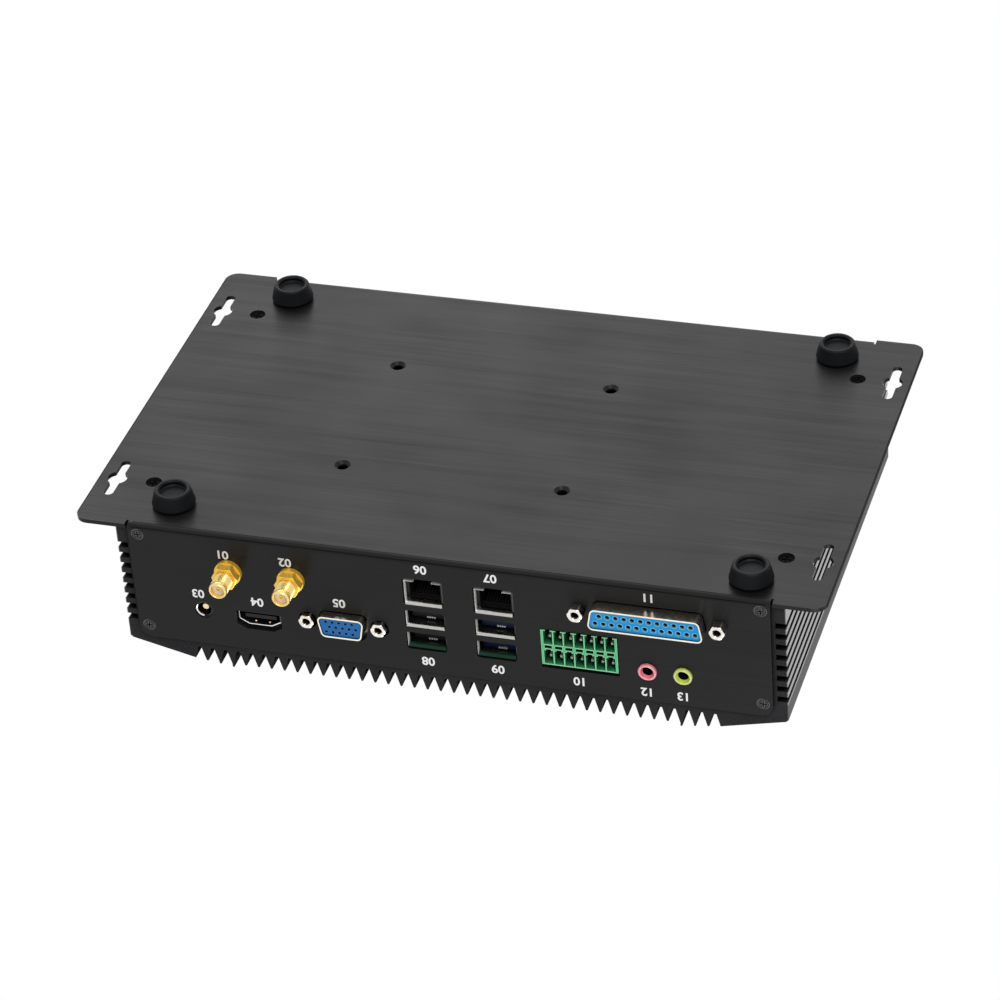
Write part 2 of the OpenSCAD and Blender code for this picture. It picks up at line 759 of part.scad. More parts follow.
module video_shell() {
    color([0.75, 0.75, 0.76]) in_case() rear_at(video_x, video_h)
        translate([0, 0, video_front]) difference() {
        linear_extrude(video_d) video_outline(video_shell_t, video_shell_t);
        translate([0, 0, -cut]) linear_extrude(video_d - video_wall + cut) video_outline(0, 0);
    }
}

module video_tongue() {
    color([0.06, 0.06, 0.06]) in_case() rear_at(video_x, video_h)
        translate([0, 0, video_front + video_tongue_sink])
            box(video_tongue_w, video_tongue_t, video_d - video_wall - video_tongue_sink);
}

flange_t = 0.8;
flange_side = 3;
d_flange_h = 11.2;
vga_flange_z = 2.4;
vga_body_d = 7;
lpt_body_d = 9;
insert_sink = 0.4;
vga_hole_r = 0.55;
vga_hole_step = 2.29;
vga_row_step = 1.98;
vga_poles = 5;
row_shift_share = 0.25;
lpt_hole_r = 0.8;
lpt_hole_step = 2.76;
lpt_row_step = 2.84;
lpt_poles = 13;
contact_d = 5;

module d_shell(long, pitch, reach, flange_z) {
    inner_long = long - 2 * d_shell_t;
    inner_h = d_shell_h - 2 * d_shell_t;
    difference() {
        union() {
            translate([0, 0, -reach]) linear_extrude(reach + flange_z) d_outline(long, d_shell_h, d_corner_r);
            translate([0, 0, flange_z]) box(pitch + 2 * flange_side, d_flange_h, flange_t);
        }
        translate([0, 0, -reach - cut]) linear_extrude(reach + flange_z + flange_t + 2 * cut)
            d_outline(inner_long, inner_h, d_corner_r - d_shell_t);
        for (sx = [-1, 1]) translate([sx * pitch / 2, 0, flange_z - cut])
            cylinder(r = stud_r + screw_gap, h = flange_t + 2 * cut);
    }
}

module d_insert(long, reach, flange_z) {
    margin = d_shell_t + insert_gap;
    translate([0, 0, insert_sink - reach]) linear_extrude(reach - insert_sink + flange_z + flange_t)
        d_outline(long - 2 * margin, d_shell_h - 2 * margin, d_corner_r - margin);
}

module vga_shell() {
    color([0.75, 0.74, 0.7]) in_case() rear_at(vga_x, vga_h) mirror([0, 1, 0])
        d_shell(vga_long, vga_post_pitch, vga_reach, vga_flange_z);
}

module vga_insert() {
    body_z = vga_flange_z + flange_t;
    color([0.05, 0.3, 0.65]) in_case() difference() {
        union() {
            rear_at(vga_x, vga_h) mirror([0, 1, 0]) d_insert(vga_long, vga_reach, vga_flange_z);
            rear_at(vga_x, board_h - d_flange_h / 2) translate([0, 0, body_z])
                box(vga_long, d_flange_h, vga_body_d);
        }
        rear_at(vga_x, vga_h) for (row = [-1, 0, 1], i = [0 : vga_poles - 1])
            translate([
                (i - (vga_poles - 1) / 2 + row_shift_share * (row == 0 ? 1 : -1)) * vga_hole_step,
                row * vga_row_step, -vga_reach
            ]) cylinder(r = vga_hole_r, h = contact_d, $fn = 16);
    }
}

module lpt_shell() {
    color([0.75, 0.72, 0.62]) in_case() rear_at(lpt_x, lpt_h)
        d_shell(lpt_long, lpt_post_pitch, lpt_reach, sheet_t);
}

module lpt_insert() {
    color([0.1, 0.5, 0.75]) in_case() rear_at(lpt_x, lpt_h) difference() {
        union() {
            d_insert(lpt_long, lpt_reach, sheet_t);
            translate([0, 0, sheet_t + flange_t]) box(lpt_long, d_flange_h, lpt_body_d);
        }
        for (row = [0, 1], i = [0 : lpt_poles - 1 - row])
            translate([(i - (lpt_poles - 1 - row) / 2) * lpt_hole_step, (0.5 - row) * lpt_row_step,
                -lpt_reach])
                cylinder(r = lpt_hole_r, h = contact_d, $fn = 16);
    }
}

module hexagon_post(reach, foot_z) {
    difference() {
        union() {
            translate([0, 0, -reach]) cylinder(d = post_w / cos(30), h = reach + foot_z, $fn = 6);
            translate([0, 0, foot_z]) cylinder(r = stud_r, h = contact_d);
        }
        translate([0, 0, -reach - cut]) cylinder(r = post_bore_r, h = reach + foot_z);
    }
}

module hexagon_posts() {
    color([0.8, 0.79, 0.76]) in_case() {
        for (sx = [-1, 1]) rear_at(vga_x + sx * vga_post_pitch / 2, vga_h)
            hexagon_post(vga_post_reach, vga_flange_z);
        for (sx = [-1, 1]) rear_at(lpt_x + sx * lpt_post_pitch / 2, lpt_h) hexagon_post(lpt_post_reach, 0);
    }
}

stack_floor = 1;
lan_depth = 13;
usb_depth = 12;
tongue_w = 11.1;
tongue_t = 1.9;
tongue_len = 9.5;
tongue_rise = 0.9;
lan_contact_w = 0.45;
lan_contact_t = 0.4;
lan_contact_step = 1.02;
lan_contacts_n = 8;
lan_contact_len = 6;
lan_contact_lean = 18;
lan_block_h = 1.2;
lan_block_d = 10;
lan_lip_d = 1.2;
lan_liner_t = 0.7;
stack_low = lan_h - lan_open_h / 2 - lan_notch_h - stack_floor;

module stack_shell(i) {
    color([0.72, 0.72, 0.7]) in_case() difference() {
        rear_at(stack_x[i], (stack_low + board_h) / 2) translate([0, 0, sheet_t])
            box(stack_w, board_h - stack_low, stack_d);
        rear_at(stack_x[i], lan_h) translate([0, 0, sheet_t - cut]) {
            box(lan_w, lan_open_h, lan_depth + cut);
            translate([0, -(lan_open_h + lan_notch_h) / 2, 0])
                box(lan_notch_w, lan_notch_h + cut / 2, lan_depth + cut);
        }
        for (h = usb_h) rear_at(stack_x[i], h) translate([0, 0, sheet_t - cut])
            box(usb_w, usb_open_h, usb_depth + cut);
    }
}

module usb_tongues(i) {
    color(i == 0 ? [0.05, 0.05, 0.05] : [0.05, 0.15, 0.35]) in_case() for (h = usb_h)
        rear_at(stack_x[i], h + tongue_rise) translate([0, 0, sheet_t + usb_depth - tongue_len])
            box(tongue_w, tongue_t, tongue_len);
}

// Side walls and back wall of black plastic behind the metal front of each network socket
module lan_liners() {
    len = lan_depth - lan_lip_d;
    color([0.05, 0.05, 0.05]) in_case() for (x = stack_x)
        rear_at(x, lan_h) translate([0, 0, sheet_t + lan_lip_d]) difference() {
            box(lan_w, lan_open_h, len);
            translate([0, 0, -cut])
                box(lan_w - 2 * lan_liner_t, lan_open_h + 2 * cut, len - lan_liner_t + cut);
        }
}

module lan_blocks() {
    block_z = sheet_t + lan_depth - lan_block_d;
    color([0.05, 0.05, 0.05]) in_case() for (x = stack_x)
        rear_at(x, lan_h + (lan_open_h - lan_block_h) / 2) translate([0, 0, block_z])
            box(lan_w - 2 * lan_liner_t, lan_block_h, lan_block_d - lan_liner_t);
}

// Sprung contacts hang from the block and lean back into the socket
module lan_contacts() {
    start_h = lan_h + lan_open_h / 2 - lan_block_h;
    start_z = sheet_t + lan_depth - lan_block_d + lan_contact_t;
    color([0.85, 0.68, 0.3]) in_case() for (x = stack_x, i = [0 : lan_contacts_n - 1])
        rear_at(x + (i - (lan_contacts_n - 1) / 2) * lan_contact_step, start_h)
            translate([-lan_contact_w / 2, 0, start_z])
            rotate([lan_contact_lean, 0, 0]) translate([0, -lan_contact_t, 0])
                cube([lan_contact_w, lan_contact_t, lan_contact_len]);
}

header_proud = 0.3;
header_cell_w = 3.1;
header_cell_h = 5.4;
header_cell_d = 9;
header_notch_w = 1.7;
header_notch_h = 0.5;
header_slot_w = 2.5;
header_slot_h = 1.2;
header_slot_low = 0.4;
header_slot_d = 4;
pin_w = 0.8;
pin_sink = 2.5;
pin_rise = 1.1;

module terminal_header() {
    slot_h = header_row_h[0] + header_cell_h / 2 + header_slot_low + header_slot_h / 2;
    color([0.1, 0.6, 0.25]) in_case() difference() {
        rear_at(header_x, (header_low + board_h) / 2) translate([0, 0, -header_proud])
            box(header_w, board_h - header_low, header_d);
        for (i = [0 : header_poles - 1]) {
            for (h = header_row_h) header_pole(i, h) {
                box(header_cell_w, header_cell_h, header_cell_d + cut);
                translate([0, -header_cell_h / 2, 0])
                    box(header_notch_w, 2 * header_notch_h, header_cell_d + cut);
            }
            header_pole(i, slot_h) box(header_slot_w, header_slot_h, header_slot_d + cut);
        }
    }
}

module header_pole(i, h) {
    rear_at(header_x + (i - (header_poles - 1) / 2) * header_pitch, h)
        translate([0, 0, -header_proud - cut]) children();
}

module terminal_pins() {
    color([0.8, 0.8, 0.76]) in_case() for (h = header_row_h, i = [0 : header_poles - 1])
        header_pole(i, h + pin_rise) translate([0, 0, cut + pin_sink])
            box(pin_w, pin_w, header_cell_d - pin_sink);
}

board_clearance = 0.2;
audio_nose_len = board_edge - board_clearance;
audio_mouth_r = 2.5;
audio_mouth_d = 1.3;
audio_body_w = 6.6;
audio_body_d = 11;
audio_bore_d = 12;
audio_lip = 0.4;

module audio_jack(i, tint) {
    body_low = 2 * audio_h - board_h;
    color(tint) in_case() difference() {
        union() {
            rear_at(audio_x[i], audio_h) {
                translate([0, 0, -audio_reach])
                    cylinder(r1 = audio_nose_r - audio_lip, r2 = audio_nose_r, h = audio_lip);
                translate([0, 0, audio_lip - audio_reach])
                    cylinder(r = audio_nose_r, h = audio_nose_len - audio_lip + audio_reach);
            }
            rear_at(audio_x[i], (body_low + board_h) / 2) translate([0, 0, audio_nose_len])
                box(audio_body_w, board_h - body_low, audio_body_d);
        }
        rear_at(audio_x[i], audio_h) translate([0, 0, -audio_reach]) {
            translate([0, 0, -cut]) cylinder(r = audio_bore_r, h = audio_bore_d + audio_reach + cut);
            translate([0, 0, -cut]) cylinder(r = audio_mouth_r, h = cut);
            cylinder(r1 = audio_mouth_r, r2 = audio_bore_r, h = audio_mouth_d);
        }
    }
}

// Board and what it carries

board_y = base_d / 2 - board_edge - board_d / 2;
spacer_w = 5;
spacer_inset_x = 4;
spacer_inset_y = 16;
board_screw_r = 1.25;
board_head_r = 2.6;
board_head_t = 1.8;
board_screw_len = 5;
spacer_x = board_w / 2 - spacer_inset_x;
spacer_y = board_d / 2 - spacer_inset_y;

module on_board() {
    translate([0, board_y, board_h]) children();
}

module main_board() {
    color([0.05, 0.3, 0.15]) in_case() on_board() difference() {
        box(board_w, board_d, board_t);
        at_corners(spacer_x, spacer_y) translate([0, 0, -cut])
            cylinder(r = board_screw_r + screw_gap, h = board_t + 2 * cut);
    }
}

module board_spacers() {
    color([0.8, 0.7, 0.4]) in_case() on_board() at_corners(spacer_x, spacer_y) translate([0, 0, board_t])
        difference() {
            cylinder(d = spacer_w / cos(30), h = roof_h - board_top, $fn = 6);
            translate([0, 0, -cut])
                cylinder(r = board_screw_r + thread_gap, h = board_screw_len + cut - thread_gap);
        }
}

module board_screws() {
    color([0.7, 0.7, 0.7]) in_case() on_board() at_corners(spacer_x, spacer_y) difference() {
        union() {
            translate([0, 0, -board_head_t]) cylinder(r = board_head_r, h = board_head_t);
            cylinder(r = board_screw_r, h = board_screw_len);
        }
        cross_recess(board_head_r, -board_head_t, board_head_t);
    }
}

chip_w = 34;
chip_t = 1.8;
pad_t = 0.5;
heat_block_w = 70;
heat_block_d = 54;

module processor() {
    color([0.1, 0.1, 0.11]) in_case() on_board() translate([0, 0, board_t]) box(chip_w, chip_w, chip_t);
}

module heat_pad() {
    color([0.6, 0.6, 0.62]) in_case() on_board() translate([0, 0, board_t + chip_t])
        box(chip_w, chip_w, pad_t);
}

module heat_block() {
    block_low = board_t + chip_t + pad_t;
    color([0.75, 0.76, 0.78]) in_case() on_board() translate([0, 0, block_low])
        box(heat_block_w, heat_block_d, roof_h - board_h - block_low);
}

memory_x = 34;
memory_y = -24;
memory_w = 72;
memory_d = 8;
memory_t = 5.2;
memory_arm_w = 2.4;
memory_arm_len = 22;
memory_slot_t = 1.2;
memory_slot_rise = 1.6;

// Empty memory socket with its two latch arms
module memory_socket() {
    color([0.08, 0.08, 0.08]) in_case() on_board() translate([memory_x, memory_y, -memory_t]) difference() {
        union() {
            box(memory_w, memory_d, memory_t);
            for (sx = [-1, 1])
                translate([sx * (memory_w - memory_arm_w) / 2, -(memory_d + memory_arm_len) / 2, 0])
                box(memory_arm_w, memory_arm_len + cut / 2, memory_t);
        }
        translate([0, -memory_d / 2, memory_slot_rise])
            box(memory_w - 2 * memory_arm_w - 2 * memory_slot_t, memory_d, memory_slot_t);
    }
}

card_x = (antenna_x[0] + antenna_x[1]) / 2;
card_w = 30;
card_len = 27;
card_t = 1;
card_drop = 3;
card_rear_y = 36;
slot_d = 8;
slot_t = 4.6;
chip_share = 0.5;

module card_slot() {
    color([0.08, 0.08, 0.08]) in_case() translate([card_x, card_rear_y - card_len, board_h - slot_t])
    difference() {
        box(card_w, slot_d, slot_t);
        translate([0, slot_d / 4 + cut / 2, slot_t - card_drop - card_t - thread_gap])
            box(card_w + cut, slot_d / 2 + cut, card_t + 2 * thread_gap);
    }
}

// The card lies in the slot's mouth and carries a shielded chip and two small coaxial sockets
module wireless_card() {
    card_h = board_h - card_drop - card_t;
    color([0.1, 0.3, 0.2]) in_case() {
        translate([card_x, card_rear_y - card_len / 2, card_h]) box(card_w, card_len, card_t);
        translate([card_x, card_rear_y - card_len / 2, card_h - card_t])
            box(card_w * chip_share, card_len * chip_share, card_t);
        for (x = antenna_x) translate([x, card_rear_y - plug_inset, card_h - plug_t]) {
            cylinder(r = plug_r, h = plug_t);
            translate([0, plug_tail / 2, 0]) box(plug_r, plug_tail, plug_t);
        }
        translate([card_x, card_rear_y - plug_inset, card_h + card_t]) cylinder(r = plug_r, h = card_drop);
    }
}

plug_r = 1.3;
plug_t = 1.4;
plug_inset = 3;
plug_tail = 2.4;
lead_r = 0.6;
lead_bend = 4;
lead_start = sheet_t + antenna_flange_t + antenna_tail_len;
lead_run = 3;

// Coaxial lead from the jack's tail to the card: back, up and back again
module antenna_lead(i) {
    start_y = base_d / 2 - lead_start;
    turn_y = start_y - lead_run;
    rise_y = turn_y - lead_bend;
    end_h = board_h - card_drop - card_t - plug_t / 2;
    end_y = card_rear_y - plug_inset + plug_tail;
    color([0.15, 0.15, 0.15]) in_case() translate([antenna_x[i], 0, 0]) {
        translate([0, start_y, antenna_h]) rotate([90, 0, 0]) cylinder(r = lead_r, h = lead_run, $fn = 16);
        translate([0, turn_y, antenna_h + lead_bend]) lead_elbow(180);
        translate([0, rise_y, antenna_h + lead_bend])
            cylinder(r = lead_r, h = end_h - antenna_h - 2 * lead_bend, $fn = 16);
        translate([0, rise_y - lead_bend, end_h - lead_bend]) lead_elbow(0);
        translate([0, rise_y - lead_bend, end_h]) rotate([90, 0, 0])
            cylinder(r = lead_r, h = rise_y - lead_bend - end_y, $fn = 16);
    }
}

module lead_elbow(turn) {
    rotate([90, 0, 90]) rotate([0, 0, turn]) rotate_extrude(angle = 90) translate([lead_bend, 0])
        circle(r = lead_r, $fn = 16);
}

coin_x = -62;
coin_y = -34;
coin_r = 10;
coin_t = 3.2;
coin_wall = 1.2;
coin_floor = 1;

module coin_cell() {
    color([0.75, 0.75, 0.76]) in_case() on_board() translate([coin_x, coin_y, -coin_floor - coin_t])
        cylinder(r = coin_r, h = coin_t);
}

module coin_holder() {
    outer = 2 * (coin_r + insert_gap + coin_wall);
    color([0.08, 0.08, 0.08]) in_case() on_board() translate([coin_x, coin_y, -coin_floor - coin_t])
    difference() {
        box(outer, outer, coin_t + coin_floor);
        translate([0, 0, -cut]) cylinder(r = coin_r + insert_gap, h = coin_t + cut);
    }
}

choke_w = 9;
choke_t = 4.5;
choke_gap = 1.3;
choke_x = card_x - card_w / 2 - choke_gap - choke_w / 2;
choke_y = 14;
choke_step = 13;
choke_count = 3;
capacitor_r = 4;
capacitor_t = 8;

module power_chokes() {
    color([0.25, 0.25, 0.26]) in_case() on_board() for (i = [0 : choke_count - 1])
        translate([choke_x, choke_y - i * choke_step, -choke_t]) box(choke_w, choke_w, choke_t);
}

module power_capacitors() {
    capacitor_y = choke_y - choke_count * choke_step;
    color([0.2, 0.2, 0.3]) in_case() on_board() for (i = [0 : choke_count - 1])
        translate([choke_x, capacitor_y - i * choke_step, -capacitor_t])
            cylinder(r = capacitor_r, h = capacitor_t);
}

lead_strip_w = 33;
lead_strip_t = 1;
lead_reach = 7;
plug_block_d = 6;
plug_block_t = 8;

// Ribbon lead from the wide connector's back: into the case, then up to a plug block on the board
module lpt_lead() {
    back_z = sheet_t + flange_t + lpt_body_d;
    rise_z = back_z + lead_reach - lead_strip_t;
    block_low = board_h - plug_block_t;
    strip_low = lpt_h - lead_strip_t / 2;
    color([0.5, 0.5, 0.52]) in_case() rear_at(lpt_x, 0) {
        translate([0, lpt_h, back_z]) box(lead_strip_w, lead_strip_t, lead_reach);
        translate([0, (strip_low + block_low) / 2, rise_z])
            box(lead_strip_w, block_low - strip_low, lead_strip_t);
        translate([0, board_h - plug_block_t / 2, rise_z + (lead_strip_t - plug_block_d) / 2])
            box(lead_strip_w, plug_block_t, plug_block_d);
    }
}

// Front panel: sprung power button, switch and two status lenses on a small upright board

button_gap = 0.1;
button_flange = 1.5;
button_flange_t = 1.2;
stem_r = 1.6;
stem_gap = 0.15;
stem_end = 6.4;
switch_w = 8;
switch_front = 5;
front_board_z = 9;
front_board_t = 1.6;
front_board_h = 16;
front_spacer_w = 5;
lens_collar_r = 2.2;
lens_collar_t = 1;
lens_proud = 0.3;
front_board_x = button_x - lens_step;
front_hole_x = lens_step + button_r + button_flange + front_spacer_w;
front_board_w = 2 * (front_hole_x + front_spacer_w);

module front_pair() {
    for (sx = [-1, 1]) front_at(front_board_x + sx * front_hole_x, front_h) children();
}

module front_board() {
    color([0.05, 0.3, 0.15]) in_case() difference() {
        front_at(front_board_x, front_h) translate([0, 0, front_board_z])
            box(front_board_w, front_board_h, front_board_t);
        front_pair() translate([0, 0, front_board_z - cut])
            cylinder(r = board_screw_r + screw_gap, h = front_board_t + 2 * cut);
    }
}

module front_spacers() {
    color([0.7, 0.7, 0.7]) in_case() front_pair() translate([0, 0, sheet_t]) difference() {
        cylinder(d = front_spacer_w / cos(30), h = front_board_z - sheet_t, $fn = 6);
        translate([0, 0, front_board_z - sheet_t - board_screw_len])
            cylinder(r = board_screw_r + thread_gap, h = board_screw_len + cut);
    }
}

module front_screws() {
    color([0.7, 0.7, 0.7]) in_case() front_pair() translate([0, 0, front_board_z + front_board_t])
        mirror([0, 0, 1]) difference() {
            union() {
                translate([0, 0, -board_head_t]) cylinder(r = board_head_r, h = board_head_t);
                cylinder(r = board_screw_r, h = board_screw_len);
            }
            cross_recess(board_head_r, -board_head_t, board_head_t);
        }
}

module power_switch() {
    bore_d = stem_end - switch_front + button_travel + stem_gap;
    color([0.1, 0.1, 0.1]) in_case() front_at(button_x, front_h)
        translate([0, 0, switch_front]) difference() {
        box(switch_w, switch_w, front_board_z - switch_front);
        translate([0, 0, -cut]) cylinder(r = stem_r + stem_gap, h = bore_d + cut);
    }
}

module power_button() {
    color([0.7, 0.7, 0.72]) in_case() front_at(button_x, front_h) {
        translate([0, 0, -button_proud]) cylinder(r = button_r, h = button_proud + sheet_t + stem_gap);
        translate([0, 0, sheet_t + stem_gap]) cylinder(r = button_r + button_flange, h = button_flange_t);
        translate([0, 0, sheet_t + stem_gap + button_flange_t])
            cylinder(r = stem_r, h = stem_end - sheet_t - stem_gap - button_flange_t);
    }
}

module status_lens(i) {
    color([0.8, 0.85, 0.9]) in_case() front_at(button_x - i * lens_step, front_h) {
        translate([0, 0, -lens_proud]) cylinder(r = lens_r, h = front_board_z + lens_proud);
        translate([0, 0, sheet_t]) cylinder(r = lens_collar_r, h = lens_collar_t);
    }
}

base_pan();
heatsink_cover();
base_screws();
panel_screws();
foot(-1, -1, 0);  // foot_front_left
foot(1, -1, 1);  // foot_front_right
foot(-1, 1, 2);  // foot_rear_left
foot(1, 1, 3);  // foot_rear_right
antenna_jack(0);  // antenna_jack_1
antenna_jack(1);  // antenna_jack_2
antenna_washers();
antenna_nuts();
antenna_cores();
inlet_housing();
inlet_sleeve();
inlet_pin();
video_shell();
video_tongue();
vga_shell();
vga_insert();
lpt_shell();
lpt_insert();
hexagon_posts();
stack_shell(0);  // stack_shell_1
stack_shell(1);  // stack_shell_2
usb_tongues(0);  // usb_tongues_1
usb_tongues(1);  // usb_tongues_2
lan_liners();
lan_blocks();
lan_contacts();
terminal_header();
terminal_pins();
audio_jack(0, [0.85, 0.3, 0.4]);  // audio_jack_1
audio_jack(1, [0.75, 0.8, 0.2]);  // audio_jack_2
main_board();
board_spacers();
board_screws();
processor();
heat_pad();
heat_block();
memory_socket();
card_slot();
wireless_card();
antenna_lead(0);  // antenna_lead_1
antenna_lead(1);  // antenna_lead_2
coin_cell();
coin_holder();
power_chokes();
power_capacitors();
lpt_lead();
front_board();
front_spacers();
front_screws();
power_switch();
power_button();
status_lens(1);  // power_lens
status_lens(2);  // drive_lens
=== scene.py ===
import json
import math

import bmesh
import bpy
from mathutils import Matrix, Vector


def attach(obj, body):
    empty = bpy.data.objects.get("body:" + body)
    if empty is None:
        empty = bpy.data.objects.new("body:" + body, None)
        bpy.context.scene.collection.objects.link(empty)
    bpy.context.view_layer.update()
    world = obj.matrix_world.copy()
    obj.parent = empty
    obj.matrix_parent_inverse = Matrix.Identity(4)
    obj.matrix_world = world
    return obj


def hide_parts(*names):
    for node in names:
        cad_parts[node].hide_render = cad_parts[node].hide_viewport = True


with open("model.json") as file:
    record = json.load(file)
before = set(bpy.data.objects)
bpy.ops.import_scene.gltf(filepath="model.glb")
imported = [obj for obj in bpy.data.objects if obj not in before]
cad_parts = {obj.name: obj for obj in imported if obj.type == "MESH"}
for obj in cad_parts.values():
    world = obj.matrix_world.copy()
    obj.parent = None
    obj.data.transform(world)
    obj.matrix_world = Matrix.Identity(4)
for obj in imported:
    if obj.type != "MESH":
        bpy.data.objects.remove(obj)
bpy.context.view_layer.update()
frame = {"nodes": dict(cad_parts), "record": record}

NODES = frame["nodes"]
MM = 0.001

# Where the case sits in the row frame, in millimetres, as in the CAD source
CASE_SHIFT = 0.5
REAR_Y = 72.95
PLATE_Z = 6.2
PLATE_HALF, COVER_HALF = 0.1275, 0.1138
GROOVES_END = 0.0472

# Camera, fitted to the photograph: place and directions in the row frame, lens for a 36 mm sensor
CAMERA_PLACE = Vector((0.374209, 1.099004, -0.778373))
CAMERA_AIM = Vector((-0.266142, -0.775801, 0.572102))
CAMERA_UP = Vector((-0.113269, -0.564226, -0.817813))
CAMERA_LENS = 149.663
SENSOR = 36.0


def make_camera():
    data = bpy.data.cameras.new("camera")
    data.sensor_width = SENSOR
    data.lens = CAMERA_LENS
    data.clip_end = 50
    aim = CAMERA_AIM.normalized()
    right = aim.cross(CAMERA_UP).normalized()
    up = right.cross(aim)
    camera = bpy.data.objects.new("camera", data)
    turn = Matrix((right, up, -aim)).transposed().to_4x4()
    camera.matrix_world = Matrix.Translation(CAMERA_PLACE) @ turn
    bpy.context.collection.objects.link(camera)
    bpy.context.scene.camera = camera


# Light

AMBIENT = 0.35


def make_world():
    world = bpy.data.worlds.new("studio")
    bpy.context.scene.world = world
    world.use_nodes = True
    nodes, links = world.node_tree.nodes, world.node_tree.links
    nodes.clear()
    path = nodes.new("ShaderNodeLightPath")
    seen = nodes.new("ShaderNodeMath")
    seen.operation = "MAXIMUM"
    links.new(path.outputs["Is Camera Ray"], seen.inputs[0])
    links.new(path.outputs["Is Glossy Ray"], seen.inputs[1])
    seen_too = nodes.new("ShaderNodeMath")
    seen_too.operation = "MAXIMUM"
    links.new(seen.outputs[0], seen_too.inputs[0])
    links.new(path.outputs["Is Transmission Ray"], seen_too.inputs[1])
    level = nodes.new("ShaderNodeMix")
    level.data_type = "FLOAT"
    level.inputs["A"].default_value = AMBIENT
    level.inputs["B"].default_value = 1.0
    links.new(seen_too.outputs[0], level.inputs["Factor"])
    background = nodes.new("ShaderNodeBackground")
    background.inputs["Color"].default_value = (1, 1, 1, 1)
    links.new(level.outputs["Result"], background.inputs["Strength"])
    out = nodes.new("ShaderNodeOutputWorld")
    links.new(background.outputs[0], out.inputs["Surface"])


def lamp(name, place, target, size, power, glossy=True):
    data = bpy.data.lights.new(name, "AREA")
    data.shape = "SQUARE"
    data.size = size
    data.energy = power
    lamp_object = bpy.data.objects.new(name, data)
    away = Vector(place) - Vector(target)
    lamp_object.matrix_world = Matrix.Translation(place) @ away.to_track_quat("Z", "Y").to_matrix().to_4x4()
    lamp_object.visible_camera = False
    lamp_object.visible_glossy = glossy
    bpy.context.collection.objects.link(lamp_object)


def make_lights():
    middle = (0, 0, 0.03)
    lamp("lamp_sheen", (-0.40, -1.16, -0.86), middle, 1.6, 13.5)
    lamp("lamp_below", (0.5, 0.9, -1.3), middle, 0.9, 12)
    lamp("lamp_above", (0.5, 0.9, 1.5), middle, 1.2, 20)
    lamp("lamp_above_front", (-0.7, -1.2, 1.2), middle, 1.2, 14)


# Floor, seen from above only

FLOOR_SIZE = 6.0


def make_floor():
    mesh = bpy.data.meshes.new("floor")
    half = FLOOR_SIZE / 2
    corners = [(-half, -half, 0), (half, -half, 0), (half, half, 0), (-half, half, 0)]
    mesh.from_pydata(corners, [], [(0, 1, 2, 3)])
    floor = bpy.data.objects.new("floor", mesh)
    bpy.context.collection.objects.link(floor)
    floor.visible_diffuse = False
    floor.visible_glossy = False
    floor.visible_transmission = False
    floor.visible_shadow = False
    material = bpy.data.materials.new("floor")
    material.use_nodes = True
    nodes, links = material.node_tree.nodes, material.node_tree.links
    nodes.clear()
    side = nodes.new("ShaderNodeNewGeometry")
    paper = nodes.new("ShaderNodeBsdfDiffuse")
    paper.inputs["Color"].default_value = (0.93, 0.93, 0.93, 1)
    clear = nodes.new("ShaderNodeBsdfTransparent")
    pick = nodes.new("ShaderNodeMixShader")
    out = nodes.new("ShaderNodeOutputMaterial")
    links.new(side.outputs["Backfacing"], pick.inputs["Fac"])
    links.new(paper.outputs[0], pick.inputs[1])
    links.new(clear.outputs[0], pick.inputs[2])
    links.new(pick.outputs[0], out.inputs["Surface"])
    mesh.materials.append(material)


# Materials

def noise(nodes, links, vector, scale, detail):
    grain = nodes.new("ShaderNodeTexNoise")
    grain.inputs["Scale"].default_value = scale
    grain.inputs["Detail"].default_value = detail
    links.new(vector, grain.inputs["Vector"])
    return grain.outputs["Fac"]


def ramp(nodes, links, value, low, high, from_colour, to_colour):
    pick = nodes.new("ShaderNodeMapRange")
    pick.inputs["From Min"].default_value = low
    pick.inputs["From Max"].default_value = high
    links.new(value, pick.inputs["Value"])
    mix = nodes.new("ShaderNodeMix")
    mix.data_type = "RGBA"
    links.new(pick.outputs["Result"], mix.inputs["Factor"])
    for end, colour in (("A", from_colour), ("B", to_colour)):
        if isinstance(colour, tuple):
            mix.inputs[end].default_value = (*colour, 1)
        else:
            links.new(colour, mix.inputs[end])
    return mix.outputs["Result"]


def painted_edge_highlight(nodes, links, shade, colour, radius):
    """Painted highlight: a lighter colour along sharp edges, where a rounded normal leaves the face's own."""
    rounded = nodes.new("ShaderNodeBevel")
    rounded.samples = 6
    rounded.inputs["Radius"].default_value = radius
    face = nodes.new("ShaderNodeNewGeometry")
    agree = nodes.new("ShaderNodeVectorMath")
    agree.operation = "DOT_PRODUCT"
    links.new(rounded.outputs["Normal"], agree.inputs[0])
    links.new(face.outputs["Normal"], agree.inputs[1])
    return ramp(nodes, links, agree.outputs["Value"], 0.99, 0.86, shade, colour)


def painted_hollow_shade(nodes, links, shade, depth, floor):
    """Painted shade: the colour is darker where walls stand close around it."""
    open_sky = nodes.new("ShaderNodeAmbientOcclusion")
    open_sky.samples = 8
    open_sky.inputs["Distance"].default_value = depth
    return ramp(nodes, links, open_sky.outputs["AO"], 0.25, 0.85, floor, shade)


